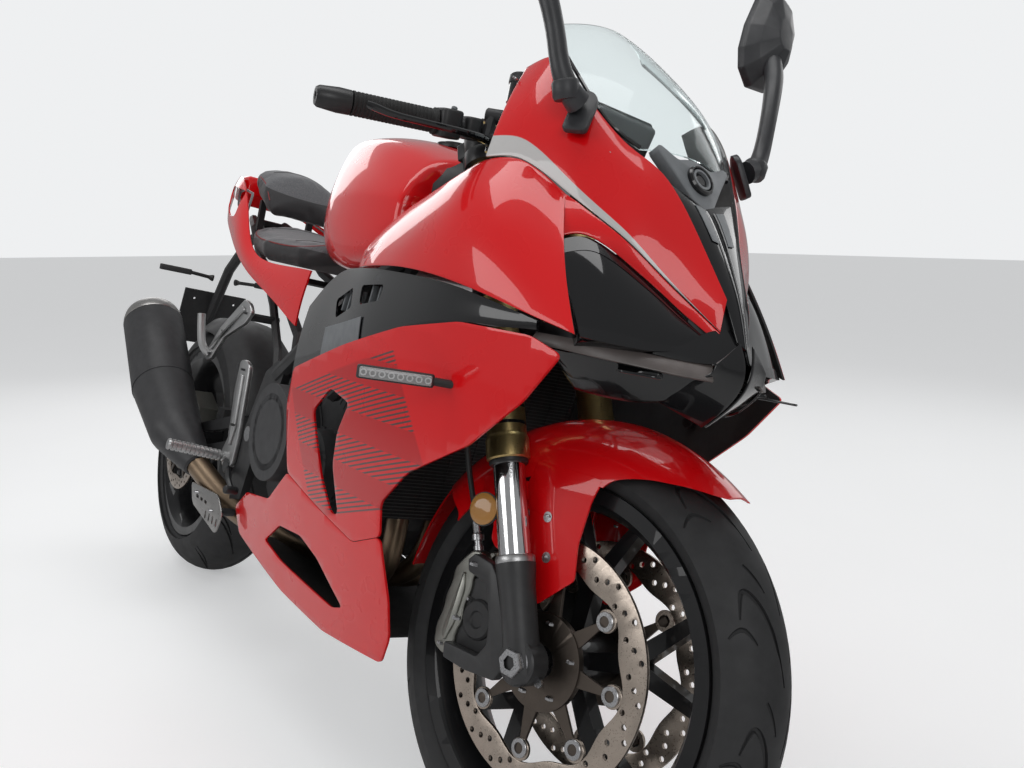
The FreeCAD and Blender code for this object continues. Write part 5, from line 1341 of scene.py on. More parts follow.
bars, grips, ends, controls, levers, buttons = (bmesh.new() for _ in range(6))
for side in (1, -1):
    tube = rod(0, 212, 11, 32, BAR_IN, BAR_WAY)
    mixed(bars, one_side(tube, side))
    ribs = [(92, 11.1), (92, 18.5), (96, 18.5), (98, 16)]
    for step in range(20):
        low = 100 + step * 5.4
        ribs += [(low, 15.7), (low + 0.6, 16.6), (low + 3.4, 16.6), (low + 4, 15.7)]
    ribs += [(209, 16), (210, 16.8), (212.6, 16.8), (212.6, 11.1)]
    mixed(grips, one_side(turned(ribs, 40, BAR_IN, BAR_WAY), side))
    weight = turned([(213, 0.01), (213, 13), (215, 16.6), (232, 17), (258, 14.6), (262, 12), (262, 6),
        (258, 5), (258, 0.01)], 40, BAR_IN, BAR_WAY)
    mixed(ends, one_side(weight, side))
    box_way = (BAR_WAY.x, BAR_WAY.y, BAR_WAY.z)
    housing = placed(slab(33, 46, 40, 9, 4), on_bar(74), box_way, (0.2, 0, 1))
    perch = placed(slab(26, 34, 32, 8, 4), on_bar(38), box_way, (0.2, 0, 1))
    arm = round_bar([(1166, 146, 966), (1176, 150, 956), (1188, 158, 952)], 9, 12)
    for other in (housing, perch, arm):
        mixed(controls, one_side(other, side))
    for distance, ahead, up, size in ((66, -21, 8, 5), (80, -21, 4, 4), (74, -20, -8, 6), (72, 4, 21, 4.5)):
        spot = on_bar(distance) + Vector((ahead, 0, up))
        way = (-1, 0, 0.2) if ahead < -10 else (0, 0, 1)
        knob = turned([(0, 0.01), (0, size), (3, size), (4.2, size - 1.4), (4.2, 0.01)], 20, spot, way)
        mixed(buttons, one_side(knob, side))
    blade = round_bar([(1188, 158, 952, 1), (1197, 182, 951, 1.1), (1188, 220, 947, 0.9),
        (1168, 268, 941, 0.8), (1146, 306, 937, 0.85), (1134, 330, 939, 1.05), (1128, 335, 940, 0.8)],
        5.5, 16)
    pivot = rod(-12, 12, 8, 24, (1186, 160, 952), (0, 0, 1))
    mixed(levers, one_side(blade, side), one_side(pivot, side))
    adjuster = rod(-5, 5, 8, 12, (1192, 172, 952), (0.2, 1, 0))
    mixed(levers, one_side(adjuster, side))
bar_tubes = into(bars, "clip_on_bars", "steering", "black_alloy", FRONT)
clamp_rings = bmesh.new()
for side in LEG_SIDES:
    mixed(clamp_rings, turned([(722, 27.1), (722, 33), (724, 34), (750, 34), (752, 33), (752, 27.1),
        (722, 27.1)], 48, (0, side, 0), (0, 0, 1)))
    way = math.copysign(1, side)
    mixed(clamp_rings, placed(slab(20, 26, 26, 3, 2), (-33, side + 8 * way, 737), (1, 0, 0), (0, 0, 1)))
clamps = into(clamp_rings, "bar_clamps", "steering", "black_alloy", FORK)
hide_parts("handlebars")
grip_sleeves = into(grips, "rubber_grips", "steering", "grip_rubber", FRONT)
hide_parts("grips")
bar_weights = into(ends, "bar_weights", "steering", "black_alloy", FRONT)
switch_boxes = into(controls, "switch_boxes", "steering", "control_black", FRONT)
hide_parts("hand_controls")
lever_blades = into(levers, "lever_blades", "steering", "gloss_black", FRONT)
switches = into(buttons, "switches", "steering", "satin_grey", FRONT)
cup = turned([(0, 0.01), (0, 19), (3, 22.5), (30, 24), (30, 0.01)], 40, (1180, -120, 1022), (0, 0, 1))
reservoir = into(cup, "fluid_cup", "steering", "lens_smoked", FRONT)
lid = turned([(30, 0.01), (30, 25), (32, 26), (42, 26), (44, 24), (44, 14), (43, 12), (43, 0.01)], 20,
    (1180, -120, 1022), (0, 0, 1))
bend = round_bar([(1180, -120, 1024), (1179, -124, 1010), (1174, -130, 1002), (1166, -137, 1000)], 5, 12)
cylinder = turned([(0, 0.01), (0, 9), (4, 11), (44, 11), (46, 9), (46, 0.01)], 24, (1184, -124, 1002),
    (-38, -26, -2))
strut = round_bar([(1160, -150, 962), (1158, -149, 984), (1156, -146, 1000)], 8, 12)
master = into(mixed(lid, bend, cylinder, strut), "brake_master", "steering", "control_black", FRONT)
top_nut = turned([(722, 0.01), (722, 20), (724, 22), (730, 22), (732, 20), (732, 8), (728, 7),
    (728, 0.01)], 6, (-30, 0, 0), (0, 0, 1))
stem_nut = into(top_nut, "stem_nut", "steering", "steel_parts", FORK)

# Instrument panel

binnacle = soften(outline([(1264, 990), (1284, 982), (1305, 1040), (1288, 1050)], -76, 76, 5, 3), 7, 4)
dash_shell = into(binnacle, "instrument_hood", "chassis", "black_plastic")
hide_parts("instrument_panel")
glass_plate = placed(slab(46, 118, 3, 6, 1), (1275.4, 0, 1020), (24, 0, 60), (-60, 0, 24))
dash_glass = into(glass_plate, "instrument_glass", "chassis", "gloss_black")

# Muffler, heat shield, link pipe and headers


def swept(rings):
    """Round shell through rings of centre, direction and radius."""
    sides = 40
    loops = []
    for centre, way, radius in rings:
        way = Vector(way).normalized()
        side = way.cross(Vector((0, 0, 1))).normalized()
        loops.append([Vector(centre) + Matrix.Rotation(2 * math.pi * step / sides, 3, way) @ side * radius
            for step in range(sides)])
    return loft(loops, ring=True)


entry_at, bend_at = Vector((340, -168, 318)), Vector((238, -196, 372))
knee_at, tip_at = Vector((96, -200, 452)), Vector((-60, -205, 588))
start = (bend_at - entry_at).normalized()
run = (knee_at - bend_at).normalized()
rise = (tip_at - knee_at).normalized()
can_rings = [(entry_at, start, 25.5), (entry_at + start * 4, start, 30),
    (entry_at.lerp(bend_at, 0.5), start, 43)]
can_rings += [(bend_at - start * 8, start, 54.5), (bend_at, start + run, 56), (bend_at + run * 10, run, 57.5)]
can_rings += [(bend_at.lerp(knee_at, 0.5), run, 62.5), (knee_at - run * 12, run, 67.5),
    (knee_at - run * 4, run * 2 + rise, 67.8)]
can_rings += [(knee_at, run + rise, 67.2), (knee_at + rise * 2, run + rise * 2, 69),
    (knee_at + rise * 14, rise, 69)]
can_rings += [(knee_at.lerp(tip_at, 0.5), rise, 69), (tip_at - rise * 2, rise, 69), (tip_at, rise, 68)]
can = swept(can_rings)
mixed(can, swept([(tip_at, rise, 68), (tip_at, rise, 45)]))
muffler_can = into(can, "muffler_can", "chassis", "muffler_black", merge=0.05)
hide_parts("muffler")
seam = swept([(knee_at - (run + rise).normalized() * 3.2, run + rise, 67),
    (knee_at - (run + rise).normalized() * 3, run + rise, 69.2),
    (knee_at + (run + rise).normalized() * 1.6, run + rise, 69.2),
    (knee_at + (run + rise).normalized() * 1.8, run + rise, 67)])
seam_ring = into(seam, "muffler_seam", "chassis", "muffler_black")
cap_rings = [(tip_at + rise * 0.4, rise, 62), (tip_at + rise * 0.4, rise, 68.6),
    (tip_at + rise * 2, rise, 69), (tip_at + rise * 14, rise, 67)]
cap_rings += [(tip_at + rise * 26, rise, 63), (tip_at + rise * 32, rise, 60),
    (tip_at + rise * 34, rise, 58), (tip_at + rise * 34, rise, 48), (tip_at + rise * 32, rise, 46),
    (tip_at - rise * 58, rise, 45.4), (tip_at - rise * 58, rise, 0.2)]
tip_cap = into(swept(cap_rings), "muffler_tip", "chassis", "muffler_steel", merge=0.02)
pin_ring = tip_at + rise * 8
pin_arm = rise.cross(Vector((0, 0, 1))).normalized()
pin_spots = [pin_ring + Matrix.Rotation(math.radians(45 + 90 * step), 3, rise) @ pin_arm * 67.8
    for step in range(4)]
rivets = many("muffler_rivets", "chassis", "steel_parts",
    [bolt(spot, spot - pin_ring, 3.2, 1.6, False) for spot in pin_spots])

SHIELD = [(560, 226), (400, 250), (372, 290), (540, 300), (580, 270)]
shield = into(soften(outline(SHIELD, -187.8, -184.4, 12, 4), 1), "heat_shield", "chassis", "muffler_steel")
slots = bmesh.new()
for step in range(4):
    x = 552 - step * 22
    mixed(slots, outline([(x, 240), (x + 8, 239), (x + 8, 256), (x, 257)], -200, -170, 3.5, 3))
for step in range(3):
    x = 470 - step * 26
    mixed(slots, outline([(x, 268), (x + 16, 267), (x + 16, 274), (x, 275)], -200, -170, 3, 3))
carve(shield, slots)
shield_spots = ((520, 262), (420, 276))
shield_bolts = many("shield_bolts", "chassis", "steel_parts",
    [bolt((x, -187.6, z), (0, -1, 0), 7, 4) for x, z in shield_spots])
post = [(0, 0.01), (0, 8), (44, 8), (44, 0.01)]
shield_posts = many("shield_posts", "chassis", "muffler_black",
    [turned(post, 16, (x, -184.6, z), (0, 1, 0)) for x, z in shield_spots])

pipes = bmesh.new()
for side in (88, 0, -88):
    gather = side * 0.25 - 18
    pipe_route = [
        (1030, side, 654), (1056, side, 630), (1062, side, 560), (1044, side * 0.9, 460),
        (1036, side * 0.8, 370), (1002, side * 0.6, 294), (940, gather - 4, 258), (860, gather, 252),
    ]
    mixed(pipes, round_bar(pipe_route, 18.4, 20))
link_route = [(866, -18, 250), (760, -30, 240), (640, -76, 242), (520, -122, 256), (420, -146, 282),
    (340, -168, 318)]
mixed(pipes, round_bar(link_route, 24.5, 24))
mixed(pipes, turned([(0, 18), (0, 30), (10, 33), (80, 33), (90, 28), (90, 18)], 32, (880, -17, 248),
    (-90, -8, -2)))
header_pipes = into(pipes, "header_pipes", "chassis", "header_bronze")
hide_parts("exhaust_headers")

# Engine covers over the block's bosses, their screws and the cylinder ribs

covers = bmesh.new()
mixed(covers, turned([(118, 0.01), (118, 87), (120, 90), (128, 90), (130, 88.4), (176, 86), (186, 80),
    (190, 70), (190, 58), (187, 56), (186, 30), (188, 26), (188, 0.01)], 64, (734, 0, 463), (0, -1, 0)))
mixed(covers, turned([(118, 0.01), (118, 68), (128, 68), (130, 66.4), (154, 64), (160, 56), (160, 30),
    (157, 28), (157, 0.01)], 56, (860, 0, 430), (0, -1, 0)))
mixed(covers, turned([(118, 0.01), (118, 74), (128, 74), (130, 72.4), (160, 70), (168, 60), (168, 40),
    (165, 38), (165, 0.01)], 56, (850, 0, 430), (0, 1, 0)))
engine_covers = into(covers, "engine_covers", "chassis", "engine_dark")
cover_bolts = []
for centre_x, centre_z, radius, depth, way, count in ((734, 463, 84, 124, -1, 9),
        (860, 430, 62, 124, -1, 7), (850, 430, 68, 124, 1, 7)):
    for step in range(count):
        turn_by = 2 * math.pi * (step + 0.3) / count
        spot = (centre_x + (radius + 4) * math.cos(turn_by), way * depth,
            centre_z + (radius + 4) * math.sin(turn_by))
        cover_bolts.append(turned([(0, 0.01), (0, 8.5), (7, 8.5), (8, 7.5), (8, 3.5), (4, 3.5),
            (4, 0.01)], 16, spot, (0, way, 0)))
cover_screws = many("cover_screws", "chassis", "engine_dark", cover_bolts)
fins = bmesh.new()
for step in range(11):
    share = step / 10
    x, z = 806 + 150 * share, 566 - 56 * share
    top_x, top_z = x + 45.36, z + 79.92
    mixed(fins, outline([(x, z), (x + 4, z - 1.5), (top_x + 4, top_z - 1.5), (top_x, top_z)], -127, 127))
head_ribs = into(fins, "cylinder_ribs", "chassis", "engine_dark")

# Radiator fins, columns and side tanks

blades = bmesh.new()
for step in range(52):
    share = (step + 0.5) / 52
    x, z = 1092 + 48 * share, 400 + 290 * share
    mixed(blades, outline([(x, z), (x + 2.2, z + 0.2), (x + 2.2, z + 1.4), (x, z + 1.2)], -164, 164))
radiator_fins = into(blades, "radiator_fins", "chassis", "radiator_fin")
columns = bmesh.new()
for step in range(9):
    y = -160 + 40 * step
    mixed(columns, outline([(1091, 402), (1093.6, 402), (1141.6, 688), (1139, 688)], y - 1, y + 1))
radiator_bars = into(columns, "radiator_bars", "chassis", "radiator_black")
for name, y in (("left", 177), ("right", -177)):
    tank_side = soften(outline([(1096, 397), (1062, 406), (1110, 700), (1143, 693)], y - 9.5, y + 9.5, 6,
        3), 4, 3)
    end = into(tank_side, f"radiator_tank_{name}", "chassis", "black_plastic")

# Middle trim between the red panels: glossy wing with two vents, fins behind them and a dull insert

TRIM_RIBS = (
    ((762, 176, 562), (782, 176, 698), 4),
    ((830, 184, 581), (852, 182, 742), 5),
    ((900, 192, 602), (920, 188, 768), 6),
    ((990, 206, 622), (1000, 202, 769), 6),
    ((1080, 219, 646), (1080, 216, 769), 6),
    ((1190, 224, 674), (1190, 223, 764), 5),
    ((1300, 227, 701), (1300, 226, 758), 4),
    ((1390, 215, 711), (1390, 213, 742), 2),
    ((1468, 198, 716), (1468, 200, 726), 0.5),
)
trim = shell(ribbed(TRIM_RIBS, (0, 1, 0), 6), "middle_trim", "chassis", "gloss_black", 3.5, 3, bevel=False)
for corners in (
    [(934, 716), (1006, 738), (1020, 706), (950, 686)],
    [(1046, 742), (1130, 746), (1128, 722), (1056, 712)],
):
    carve(trim, outline(corners, 150, 280, 7, 3))
carve(trim, outline([(786, 730), (836, 752), (862, 800), (760, 800)], 150, 280, 4, 3))
middle_trim = into(mirrored(taken(trim)), "middle_trim", "chassis", "gloss_black", merge=0.02)
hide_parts("mid_trim")
slats = bmesh.new()
for step in range(4):
    x = 946 + step * 18
    mixed(slats, soften(outline([(x, 700), (x + 4, 700), (x + 12, 734), (x + 8, 734)], 186, 194), 0.8))
for step in range(3):
    x = 1062 + step * 24
    mixed(slats, soften(outline([(x, 716), (x + 4, 716), (x + 10, 744), (x + 6, 744)], 198, 208), 0.8))
trim_slats = into(mirrored(slats), "trim_slats", "chassis", "satin_grey")
backing = bmesh.new()
mixed(backing, outline([(924, 680), (1012, 700), (1016, 746), (928, 730)], 182, 184))
mixed(backing, outline([(1040, 706), (1136, 716), (1136, 752), (1044, 748)], 194, 196))
trim_backs = into(mirrored(backing), "trim_backs", "chassis", "black_plastic")
insert = strip(TRIM_RIBS[2:5], (0, 1, 0), 0.12, 0.42, 0.7, 3)
trim_insert = shell(mirrored(insert), "trim_insert", "chassis", "satin_grey", 1.2, 2, bevel=False)

# Turn signals: rubber stem, dark housing and a clear lens over a chain of rings

stems, houses, lenses, rings = (bmesh.new() for _ in range(4))
for start, root, tip, up, size in (
    ((1351, 206, 632), (1339, 240, 632), (1297, 325, 628), (0, 0, 1), 1.0),
    ((-216, 30, 731), (-221, 88, 735), (-232, 169, 735), (0, 0, 1), 0.9),
):
    root, tip, start = Vector(root), Vector(tip), Vector(start)
    way = (tip - root).normalized()
    up = Vector(up)
    front = way.cross(up).normalized()
    if size < 1:
        front = -front
    mixed(stems, round_bar([tuple(start), tuple(start.lerp(root, 0.6)), tuple(root + way * 6)],
        5.5 * size, 16))
    mixed(stems, turned([(0, 0.01), (0, 8.5), (3, 9), (8, 7), (12, 5.6), (12, 0.01)], 24, start,
        root - start))
    long = (tip - root).length
    middle_at = (root + tip) / 2
    house = slab(long, 15 * size, 17 * size, 5, 2.5, 3)
    mixed(houses, placed(house, middle_at - front * 0.5, way, up))
    clear = slab(long - 6, 6 * size, 13 * size, 2, 2, 3)
    mixed(lenses, placed(clear, middle_at + front * 6.4 * size, way, up))
    for step in range(8):
        spot = root + way * (8 + (long - 16) * step / 7) + front * 9.6 * size
        mixed(rings, turned([(-1, 2.6), (-1, 4.4), (0.6, 4.4), (0.6, 2.6), (-1, 2.6)], 14, spot, front))
for name, mesh, paint, slot_name in (
    ("signal_stems", stems, "hose_black", "hose_black"),
    ("signal_houses", houses, "black_plastic", "black_plastic"),
    ("signal_lenses", lenses, "signal_clear", "signal_clear"),
    ("signal_rings", rings, "cast_silver", "signal_clear"),
):
    signal = into(mirrored(mesh), name, "chassis", paint)
    if name == "signal_houses":
        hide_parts("turn_signals")

# Foot rests: cast hangers, ribbed pegs, pedals and heel guards

HANGER = [(470, 566), (498, 570), (524, 560), (530, 420), (522, 360), (506, 346), (470, 346), (452, 372),
    (478, 410), (464, 500)]
REAR_HANGER = [(470, 664), (452, 682), (420, 690), (300, 620), (236, 560), (240, 540), (270, 545),
    (330, 600), (440, 640)]
plates, pegs, trims = (bmesh.new() for _ in range(3))
for side in (1, -1):
    hanger = soften(outline(HANGER, 156.6, 166, 8, 3), 2.2, 3)
    rear_hanger = soften(outline(REAR_HANGER, 152.6, 162, 7, 3), 2.2, 3)
    rib = soften(outline([(488, 540), (508, 540), (514, 430), (500, 392), (486, 420), (492, 470)], 166,
        171, 5, 3), 2, 3)
    rear_rib = soften(outline([(440, 668), (424, 676), (300, 606), (262, 566), (276, 566), (330, 608)],
        162, 167, 4, 3), 2, 3)
    for other in (hanger, rear_hanger, rib, rear_rib):
        mixed(plates, one_side(other, side))
    peg_start, peg_way = Vector((484, 164, 368)), Vector((-10, 118, 14)).normalized()
    rows = [(0, 0.01), (0, 11), (8, 11), (10, 8)]
    for step in range(11):
        low = 14 + step * 9
        rows += [(low, 9.4), (low + 1, 11.4), (low + 6, 11.4), (low + 7, 9.4)]
    rows += [(114, 9.4), (115, 11.6), (119, 10.6), (119, 0.01)]
    mixed(pegs, one_side(turned(rows, 24, peg_start, peg_way), side))
    fold = round_bar([(256, 162, 556), (252, 178, 566), (242, 184, 610), (236, 186, 640)], 9, 16)
    mixed(pegs, one_side(fold, side))
    pedal = round_bar([(500, 162, 352), (530, 172, 342), (560, 178, 331), (612, 189, 326)], 5.6, 14)
    toe = turned([(0, 0.01), (0, 7.4), (3, 8), (24, 8), (26, 6.6), (26, 0.01)], 20, (612, 180, 326),
        (0.2, 1, 0.1))
    pivot = turned([(0, 0.01), (0, 13), (4, 14), (12, 14), (14, 12), (14, 0.01)], 28, (500, 156.6, 352),
        (0, 1, 0))
    for other in (pedal, toe, pivot):
        mixed(trims, one_side(other, side))
    guard = soften(outline([(462, 420), (480, 400), (474, 470), (468, 540), (440, 560), (446, 490)], 158,
        161, 6, 3), 1, 2)
    mixed(trims, one_side(guard, side))
    for x, z, y in ((498, 552, 166), (508, 440, 170.6), (488, 368, 166), (444, 664, 162), (330, 616, 162),
            (264, 560, 162)):
        mixed(trims, one_side(bolt((x, y, z), (0, 1, 0), 6.4, 4.6), side))
hangers = into(plates, "peg_hangers", "chassis", "cast_silver")
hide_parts("footrests")
foot_pegs = into(pegs, "foot_pegs", "chassis", "cast_silver")
pedals = into(trims, "pedals_and_guards", "chassis", "black_alloy")

# Chain: side plates and rollers round both sprockets

REAR_AT, FRONT_AT = Vector(REAR_AXLE), Vector((640, 0, 452))
ahead = (FRONT_AT - REAR_AT).normalized()
span = (FRONT_AT - REAR_AT).length
CHAIN_PITCH, CHAIN_SIDE = 15.875, Vector((0, 104, 0))
BIG, SMALL = 102 + 8.4, 38 + 8.4
tilt = math.asin((BIG - SMALL) / span)
straight = span * math.cos(tilt)
rise_angle = math.atan2(ahead.z, ahead.x)
top_way, low_way = rise_angle + math.pi / 2 - tilt, rise_angle - math.pi / 2 + tilt
whole_length = 2 * straight + BIG * (math.pi + 2 * tilt) + SMALL * (math.pi - 2 * tilt)


def chain_spot(distance):
    """Point and direction of travel on the chain's line."""
    distance %= whole_length
    if distance < straight:
        start = REAR_AT + Vector((math.cos(top_way), 0, math.sin(top_way))) * BIG
        turn_by = top_way - math.pi / 2
        return start + Vector((math.cos(turn_by), 0, math.sin(turn_by))) * distance, turn_by
    distance -= straight
    arc = SMALL * (math.pi - 2 * tilt)
    if distance < arc:
        angle = top_way - distance / SMALL
        return FRONT_AT + Vector((math.cos(angle), 0, math.sin(angle))) * SMALL, angle - math.pi / 2
    distance -= arc
    if distance < straight:
        start = FRONT_AT + Vector((math.cos(low_way), 0, math.sin(low_way))) * SMALL
        turn_by = low_way - math.pi / 2
        return start + Vector((math.cos(turn_by), 0, math.sin(turn_by))) * distance, turn_by
    distance -= straight
    angle = low_way - distance / BIG
    return REAR_AT + Vector((math.cos(angle), 0, math.sin(angle))) * BIG, angle - math.pi / 2


links = bmesh.new()
count = round(whole_length / CHAIN_PITCH / 2) * 2
pitch = whole_length / count
for index in range(count):
    spot, turn_by = chain_spot((index + 0.5) * pitch)
    outer = index % 2
    y = 7.4 if outer else 5.4
    for way in (1, -1):
        low, high = sorted((way * y, way * (y - 1.8)))
        link = outline([(-10.6, -4), (-7, -6.6), (0, -5), (7, -6.6), (10.6, -4), (10.6, 4), (7, 6.6),
            (0, 5), (-7, 6.6), (-10.6, 4)], low, high)
        bmesh.ops.transform(link, matrix=Matrix.Translation(spot + CHAIN_SIDE)
            @ Matrix.Rotation(-turn_by, 4, "Y"), verts=link.verts)
        mixed(links, link)
    spot, turn_by = chain_spot(index * pitch)
    mixed(links, turned([(-8.4, 0.01), (-8.4, 2.6), (-3.6, 2.6), (-3.6, 4.8), (3.6, 4.8), (3.6, 2.6),
        (8.4, 2.6), (8.4, 0.01)], 8, spot + CHAIN_SIDE, (0, 1, 0)))
drive_chain = into(links, "drive_chain", "chassis", "chain_steel")
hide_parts("chain")

# Airbox cover and rear lamp

AIRBOX = ((1007, 117, 879, 929, 983), (1018, 114, 879, 924, 979), (1028, 109, 879, 917, 971),
    (1040, 86, 882, 911, 962), (1049, 58, 885, 903, 951))
cover_rings = []
for x, half, low, side, crown in AIRBOX:
    left = [(half, low), (half, (low + side) / 2), (half - 1, side), (half * 0.8, (side + crown) / 2 + 2),
        (half * 0.5, crown - 6), (half * 0.2, crown - 1)]
    cover_rings.append([(x, y, z) for y, z in left] + [(x, -y, z) for y, z in left[::-1]])
cover_mesh = loft(cover_rings, ring=True)
capped(cover_mesh)
cover = into(soften(cover_mesh, 2.5, 3, 50), "airbox_skin", "chassis", "black_plastic", sharp=50)
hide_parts("airbox_cover")
cover_screw = many("airbox_screws", "chassis", "steel_parts",
    [bolt((1044, 66, 928), (0.75, 0.3, 0.6), 5, 2.5, False)], both=True)
lamp_back = soften(outline([(-47.9, 941), (-60, 950), (-56, 980), (-41.8, 982)], -56, 56, 2, 2), 1.5, 2)
rear_lamp = into(lamp_back, "rear_lamp", "chassis", "lamp_red")
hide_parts("tail_light")
rods = bmesh.new()
for step in range(12):
    y = -49.5 + step * 9
    mixed(rods, placed(slab(20, 5.4, 1.6, 1.2, 0.5, 2), (-58.6, y, 966), (0.1, 0, 1), (-1, 0, 0.1)))
rear_rods = into(rods, "rear_lamp_rods", "chassis", "lamp_red")

# Seats: cloth-covered cushions swollen over their foam, with a coloured seam and two tones


def seat_paint(name, start, way):
    """Light grey suede on top and dark cover on the sides, parted by a slanted plane."""
    cover = Finish(name, (0.07, 0.07, 0.075), 0.75)
    height = cover.along(way, start, BIKE)
    top = cover.spread(height, 0, 1, -0.4, 0.4)
    weave = cover.math("MULTIPLY", cover.noise(1300, 3), cover.noise(420, 2))
    dark = cover.vary(cover.spread(cover.noise(700, 4), 0, 1), (0.020, 0.020, 0.022), (0.034, 0.034, 0.036))
    light = cover.nodes.new("ShaderNodeMix")
    light.data_type = "RGBA"
    cover.join(cover.spread(weave, 0, 1, 0.15, 0.4), light, 0)
    light.inputs[6].default_value = (0.085, 0.088, 0.095, 1)
    light.inputs[7].default_value = (0.155, 0.158, 0.165, 1)
    both_tones = cover.nodes.new("ShaderNodeMix")
    both_tones.data_type = "RGBA"
    cover.join(top, both_tones, 0)
    cover.join(dark.outputs[2], both_tones, 6)
    cover.join(light.outputs[2], both_tones, 7)
    cover.join(both_tones.outputs[2], cover.shader, "Base Color")
    cover.set("Sheen Weight", 0.25)
    cover.set("Sheen Roughness", 0.5)
    cover.bump(cover.noise(1500, 4), 0.00025, 0.6)
    return cover.material


CLOTH_GRID, PRESSURE, BLOWN_FRAMES, SWELL = 0.005, 4, 20, 0.006


def cushion(name, table, material):
    """Cushion through rings of forward, half width, low, side top and crown, blown up by cloth pressure."""
    rings = []
    for near, far in zip(table, table[1:]):
        for step in range(3):
            t = step / 3
            rings.append([a + (b - a) * t for a, b in zip(near, far)])
    rings.append(list(table[-1]))
    loops = []
    for index, (x, half, low, side, crown) in enumerate(rings):
        edge = 5 if index in (0, len(rings) - 1) else 2
        half, crown, side = half - edge, crown - edge, side - edge
        left = [
            (half * 0.5, low + 2), (half - 14, low + 2), (half - 7, low + 8),
            (half - 3, (low + side) / 2), (half - 1, side - 5),
            (half - 5, side + 2), (half * 0.8, side + (crown - side) * 0.42),
            (half * 0.5, side + (crown - side) * 0.78), (half * 0.2, crown - 0.6),
        ]
        loops.append([(x, y, z) for y, z in left] + [(x, -y, z) for y, z in left[::-1]])
    bm = loft(loops, ring=True)
    capped(bm)
    piece = into(bm, name, "chassis", material, sharp=80)
    even = piece.modifiers.new("even", "REMESH")
    even.mode = "VOXEL"
    even.voxel_size = CLOTH_GRID
    even.use_smooth_shade = True
    settle(piece, 80)
    start = [vert.co.copy() for vert in piece.data.vertices]
    cloth = piece.modifiers.new("cloth", "CLOTH")
    cloth.settings.use_pressure = True
    cloth.settings.uniform_pressure_force = PRESSURE
    cloth.settings.effector_weights.gravity = 0
    for number in range(1, BLOWN_FRAMES + 1):
        scene.frame_set(number)
    bpy.context.view_layer.update()
    blown = piece.evaluated_get(bpy.context.evaluated_depsgraph_get()).data
    ends = [vert.co.copy() for vert in blown.vertices]
    piece.modifiers.clear()
    scene.frame_set(1)
    up = BIKE.to_3x3() @ Vector((0, 0, 1))
    up.normalize()
    for vert, before, after in zip(piece.data.vertices, start, ends):
        move = after - before
        if move.dot(up) < 0:
            move -= up * move.dot(up)
        if move.length > SWELL:
            move *= SWELL / move.length
        vert.co = before + move
    relax = piece.modifiers.new("relax", "SMOOTH")
    relax.factor = 0.5
    relax.iterations = 2
    finer = piece.modifiers.new("finer", "SUBSURF")
    finer.levels = finer.render_levels = 1
    settle(piece, 80)
    return piece


def seam_on(piece, points, radius):
    """Round seam laid on a piece's skin along a line of points."""
    skin = BVHTree.FromObject(piece, bpy.context.evaluated_depsgraph_get())
    line = []
    for point in points:
        spot, normal, _, _ = skin.find_nearest(BIKE @ Vector(point))
        line.append(tuple(BIKE.inverted() @ (spot + normal * 0.0003)))
    return round_bar(line, radius, 8)


RIDER = ((256, 118, 812, 850, 876), (330, 143, 793, 832, 856), (430, 156, 777, 818, 836),
    (530, 118, 772, 816, 832), (590, 66, 790, 836, 850))
PILLION = ((64, 60, 952, 992, 1008), (150, 92, 930, 985, 1010), (230, 98, 896, 954, 990),
    (262, 92, 884, 900, 934))
rider_paint = seat_paint("rider_cover", (420, 0, 819), (0.06, 0, 1))
pillion_paint = seat_paint("pillion_cover", (150, 0, 980), (0.36, 0, 1))
rider = cushion("rider_cushion", RIDER, rider_paint)
pillion = cushion("pillion_cushion", PILLION, pillion_paint)
for piece, node in ((rider, "rider_seat"), (pillion, "pillion_seat")):
    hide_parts(node)
seams = bmesh.new()
for way in (1, -1):
    line = [(256 + 6, way * 108, 858), (290, way * 124, 846), (330, way * 136, 836),
        (380, way * 146, 828), (430, way * 148, 822), (480, way * 136, 818), (530, way * 112, 818),
        (580, way * 70, 832)]
    mixed(seams, seam_on(rider, line, 1.3))
    line = [(80, way * 60, 992), (115, way * 74, 989), (150, way * 86, 984), (190, way * 91, 972),
        (230, way * 92, 956), (252, way * 90, 922)]
    mixed(seams, seam_on(pillion, line, 1.3))
channels = bmesh.new()
for seat, x, back, half, z in (
    (rider, 300, 14, 96, 864), (rider, 470, 14, 104, 836), (pillion, 176, 10, 70, 1010),
):
    line = [(x + back * abs(step) / 5, half * step / 5, z) for step in range(-5, 6)]
    mixed(channels, seam_on(seat, line, 1.0))
seat_seams = into(seams, "seat_seams", "chassis", "seam_red")
seat_channels = into(channels, "seat_channels", "chassis", "seat_cover")

# Liners of the grab openings

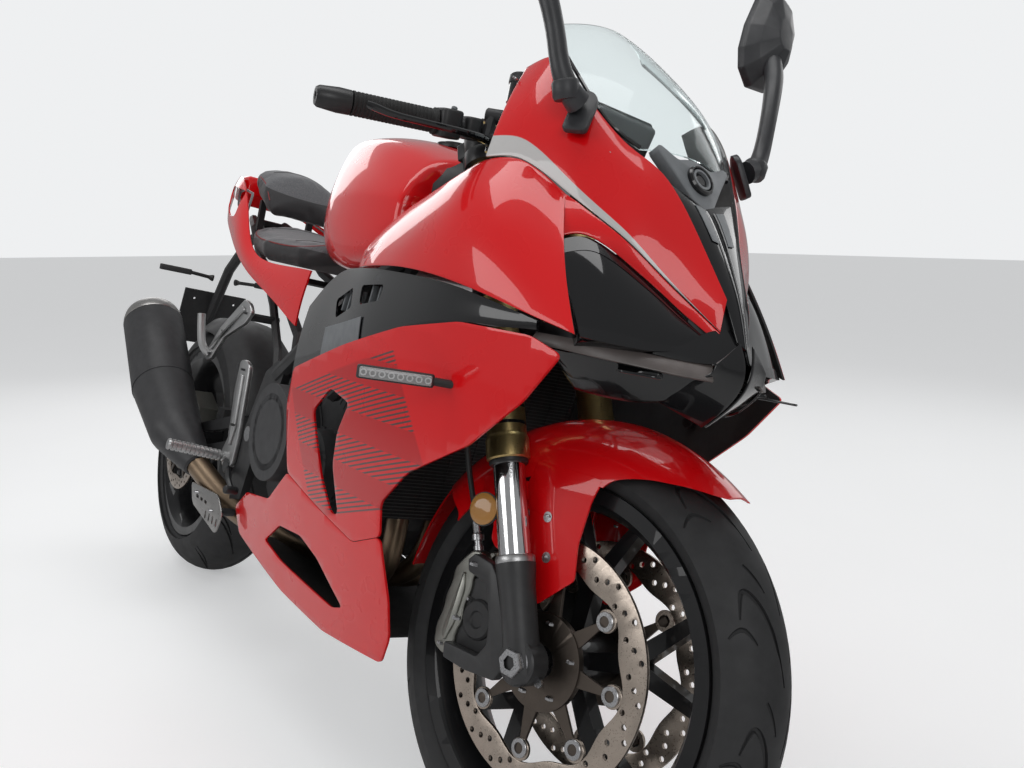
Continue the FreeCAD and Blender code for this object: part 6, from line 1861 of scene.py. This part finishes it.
liner = bmesh.new()
for way in (1, -1):
    rim = outline(GRAB, 60, 64, 14, 4)
    hollow = outline([(134 + (x - 134) * 0.9, 912 + (z - 912) * 0.86) for x, z in GRAB], 50, 74, 12, 4)
    ring_piece = into(rim, "liner", "chassis", "satin_grey")
    carve(ring_piece, hollow)
    copy = taken(ring_piece)
    for vert in copy.verts:
        share = (vert.co.x - 30) / 208
        vert.co.y += 26 + share * 34 - (vert.co.z - 910) * 0.16
        vert.co.y *= way
    mixed(liner, copy)
grab_liners = into(liner, "grab_liners", "chassis", "satin_grey")

# Floor

floor_mesh = bmesh.new()
bmesh.ops.create_grid(floor_mesh, x_segments=1, y_segments=1, size=30)
data = bpy.data.meshes.new("studio_floor")
floor_mesh.to_mesh(data)
floor_mesh.free()
studio_floor = bpy.data.objects.new("studio_floor", data)
scene.collection.objects.link(studio_floor)
ground = Finish("floor_pale", (0.72, 0.72, 0.72), 0.6)
ground.vary(ground.noise(3, 3), (0.70, 0.70, 0.70), (0.74, 0.74, 0.74))
ground.set("Emission Color", (0.86, 0.87, 0.88, 1))
sight = ground.nodes.new("ShaderNodeLightPath")
ground.join(ground.math("MULTIPLY", sight.outputs["Is Camera Ray"], 0.42), ground.shader, "Emission Strength")
studio_floor.data.materials.append(ground.material)

world = bpy.data.worlds.new("studio")
scene.world = world
world.use_nodes = True
nodes, links = world.node_tree.nodes, world.node_tree.links
backdrop = nodes["Background"]
backdrop.inputs["Color"].default_value = (0.86, 0.87, 0.88, 1)
backdrop.inputs["Strength"].default_value = 0.36
white = nodes.new("ShaderNodeBackground")
white.inputs["Color"].default_value = (0.86, 0.87, 0.88, 1)
white.inputs["Strength"].default_value = 1.0
path = nodes.new("ShaderNodeLightPath")
mix = nodes.new("ShaderNodeMixShader")
seen = nodes.new("ShaderNodeMath")
seen.operation = "MAXIMUM"
links.new(path.outputs["Is Camera Ray"], seen.inputs[0])
links.new(path.outputs["Is Transmission Ray"], seen.inputs[1])
links.new(seen.outputs[0], mix.inputs[0])
links.new(backdrop.outputs[0], mix.inputs[1])
links.new(white.outputs[0], mix.inputs[2])
links.new(mix.outputs[0], nodes["World Output"].inputs["Surface"])
